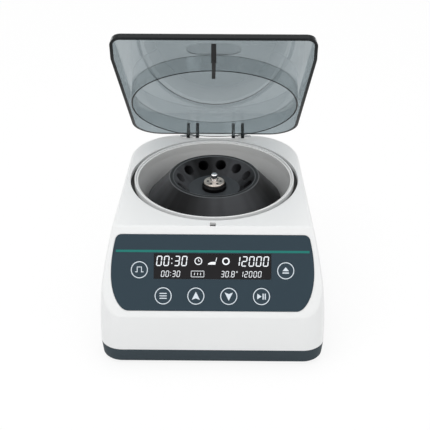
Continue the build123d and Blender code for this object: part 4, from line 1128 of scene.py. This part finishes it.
@dataclass
class RearConnections:
    """Mains inlet and power rocker in the rear wall."""

    black: Finish = Finish("inlet_black", srgb(30, 30, 31), roughness=0.42, relief=0.02,
                           drift=0.05, painted_edge_lift=1.6)
    rocker: Finish = Finish("rocker_black", srgb(24, 24, 25), roughness=0.25, relief=0.006,
                            drift=0.03, painted_edge_lift=1.6)
    nickel: Finish = Finish("pin_nickel", srgb(206, 204, 196), roughness=0.2, metallic=1.0,
                            grain=0.3, relief=0.004)

    def build(self, housing: Housing) -> None:
        """Dress the inlet and the rocker.

        Args:
            housing: The housing, whose screws the inlet shares.
        """
        dress(self.black, "mains_inlet", "rocker_frame")
        dress(self.rocker, "power_rocker")
        dress(self.nickel, "inlet_pins")
        dress(housing.zinc, "inlet_screws")


# ---------- studio
@dataclass(frozen=True)
class Lamp:
    """A soft square lamp: where it stands, its side and its power in watts."""

    name: str
    place: tuple[float, float, float]
    size: float
    power: float


LAMPS: tuple[Lamp, ...] = (
    Lamp("key_light", (-0.8, -0.8, 1.6), size=1.1, power=8.4),
    Lamp("fill_light", (1.0, -0.9, 1.2), size=1.2, power=4.2),
    Lamp("top_light", (0.0, 0.5, 1.7), size=1.4, power=7.8),
)


@dataclass
class Studio:
    """Pale floor, soft lamps and the camera."""

    frame_px: float = 430.0
    focal_px: float = 1432.0
    distance: float = 1.5
    azimuth: float = radians(0.8)
    rise: float = radians(28.9)
    aim_right_px: float = -0.9
    aim_up_px: float = 37.1
    sensor: float = 36.0
    ambient: float = 0.68
    floor_half: float = 6.0
    floor_roughness: float = 0.9
    floor_glow: float = 0.85
    floor_colours: tuple[Colour, Colour] = (srgb(246, 246, 246), srgb(250, 250, 250))

    def build(self) -> None:
        """Make the floor, the light and the camera."""
        self.add_floor()
        self.add_world()
        for lamp in LAMPS:
            self.add_lamp(lamp)
        self.add_camera()

    def seen_as_white(self, graph: Graph) -> Socket:
        """Whether a ray only looks: 1 for camera, mirror and through rays, otherwise 0.

        Args:
            graph: Graph of the floor or the world.

        Returns:
            The mask socket.
        """
        path = graph.add("LightPath")
        direct = graph.math("MAXIMUM", path.outputs["Is Camera Ray"],
                            path.outputs["Is Glossy Ray"])
        return graph.math("MAXIMUM", direct, path.outputs["Is Transmission Ray"])

    def add_floor(self) -> None:
        """Add the pale floor, which keeps the object's soft shadow."""
        mesh = bmesh.new()
        bmesh.ops.create_grid(mesh, x_segments=1, y_segments=1, size=self.floor_half)
        data = bpy.data.meshes.new("floor")
        mesh.to_mesh(data)
        mesh.free()
        floor = bpy.data.objects.new("floor", data)
        bpy.context.scene.collection.objects.link(floor)
        paint = bpy.data.materials.new("floor_white")
        paint.use_nodes = True
        graph = Graph(paint.node_tree)
        shader = graph.tree.nodes["Principled BSDF"]
        grain = graph.add("TexNoise", {"Vector": graph.add("TexCoord").outputs["Object"],
                                       "Scale": 3.0})
        graph.feed(shader.inputs["Base Color"],
                   graph.blend(grain.outputs[0], *self.floor_colours))
        shader.inputs["Roughness"].default_value = self.floor_roughness
        glow = graph.add("Emission", {"Color": WHITE, "Strength": 1.0})
        mixed = graph.add("MixShader", {
            0: graph.math("MULTIPLY", self.seen_as_white(graph), self.floor_glow),
            1: shader.outputs[0], 2: glow.outputs[0]})
        graph.feed(graph.tree.nodes["Material Output"].inputs[0], mixed.outputs[0])
        data.materials.append(paint)

    def add_world(self) -> None:
        """Light the room plainly, and show it white behind the object."""
        world = bpy.data.worlds.new("room")
        world.use_nodes = True
        bpy.context.scene.world = world
        graph = Graph(world.node_tree)
        light = graph.tree.nodes["Background"]
        graph.feed(light.inputs["Color"], WHITE)
        graph.feed(light.inputs["Strength"], self.ambient)
        white = graph.add("Background", {"Color": WHITE, "Strength": 1.0})
        mixed = graph.add("MixShader", {0: self.seen_as_white(graph), 1: light.outputs[0],
                                        2: white.outputs[0]})
        graph.feed(graph.tree.nodes["World Output"].inputs[0], mixed.outputs[0])

    def add_lamp(self, lamp: Lamp) -> None:
        """Add one lamp that faces the object.

        Args:
            lamp: The lamp.
        """
        data = bpy.data.lights.new(lamp.name, "AREA")
        data.size = lamp.size
        data.energy = lamp.power
        made = bpy.data.objects.new(lamp.name, data)
        bpy.context.scene.collection.objects.link(made)
        made.location = lamp.place
        to_object = Vector(SPIN) - Vector(lamp.place)
        made.rotation_euler = to_object.to_track_quat("-Z", "Y").to_euler()

    def add_camera(self) -> None:
        """Add the camera, aimed at the middle of the chamber's mouth."""
        target = Vector((SPIN[0], SPIN[1], HINGE.z))
        back = Vector((sin(self.azimuth) * cos(self.rise), -cos(self.azimuth) * cos(self.rise),
                       sin(self.rise)))
        data = bpy.data.cameras.new("camera")
        data.sensor_width = self.sensor
        data.lens = self.focal_px * self.sensor / self.frame_px
        camera = bpy.data.objects.new("camera", data)
        bpy.context.scene.collection.objects.link(camera)
        camera.location = target + back * self.distance
        tilt = pi / 2 - self.rise - atan(self.aim_up_px / self.focal_px)
        pan = self.azimuth + atan(self.aim_right_px / self.focal_px)
        camera.rotation_euler = (tilt, 0.0, pan)
        bpy.context.scene.camera = camera


def main() -> None:
    """Build every sub-assembly in order."""
    logging.basicConfig(level=logging.INFO, format="%(message)s")
    bpy.context.scene.view_settings.view_transform = "Standard"
    Studio().build()
    housing = Housing()
    housing.build()
    Chamber().build()
    RotorSet().build()
    Drive().build(housing)
    lid = Lid()
    lid.build()
    ControlFace().build()
    Electronics().build(housing, lid)
    RearConnections().build(housing)


if __name__ == "__main__":
    main()
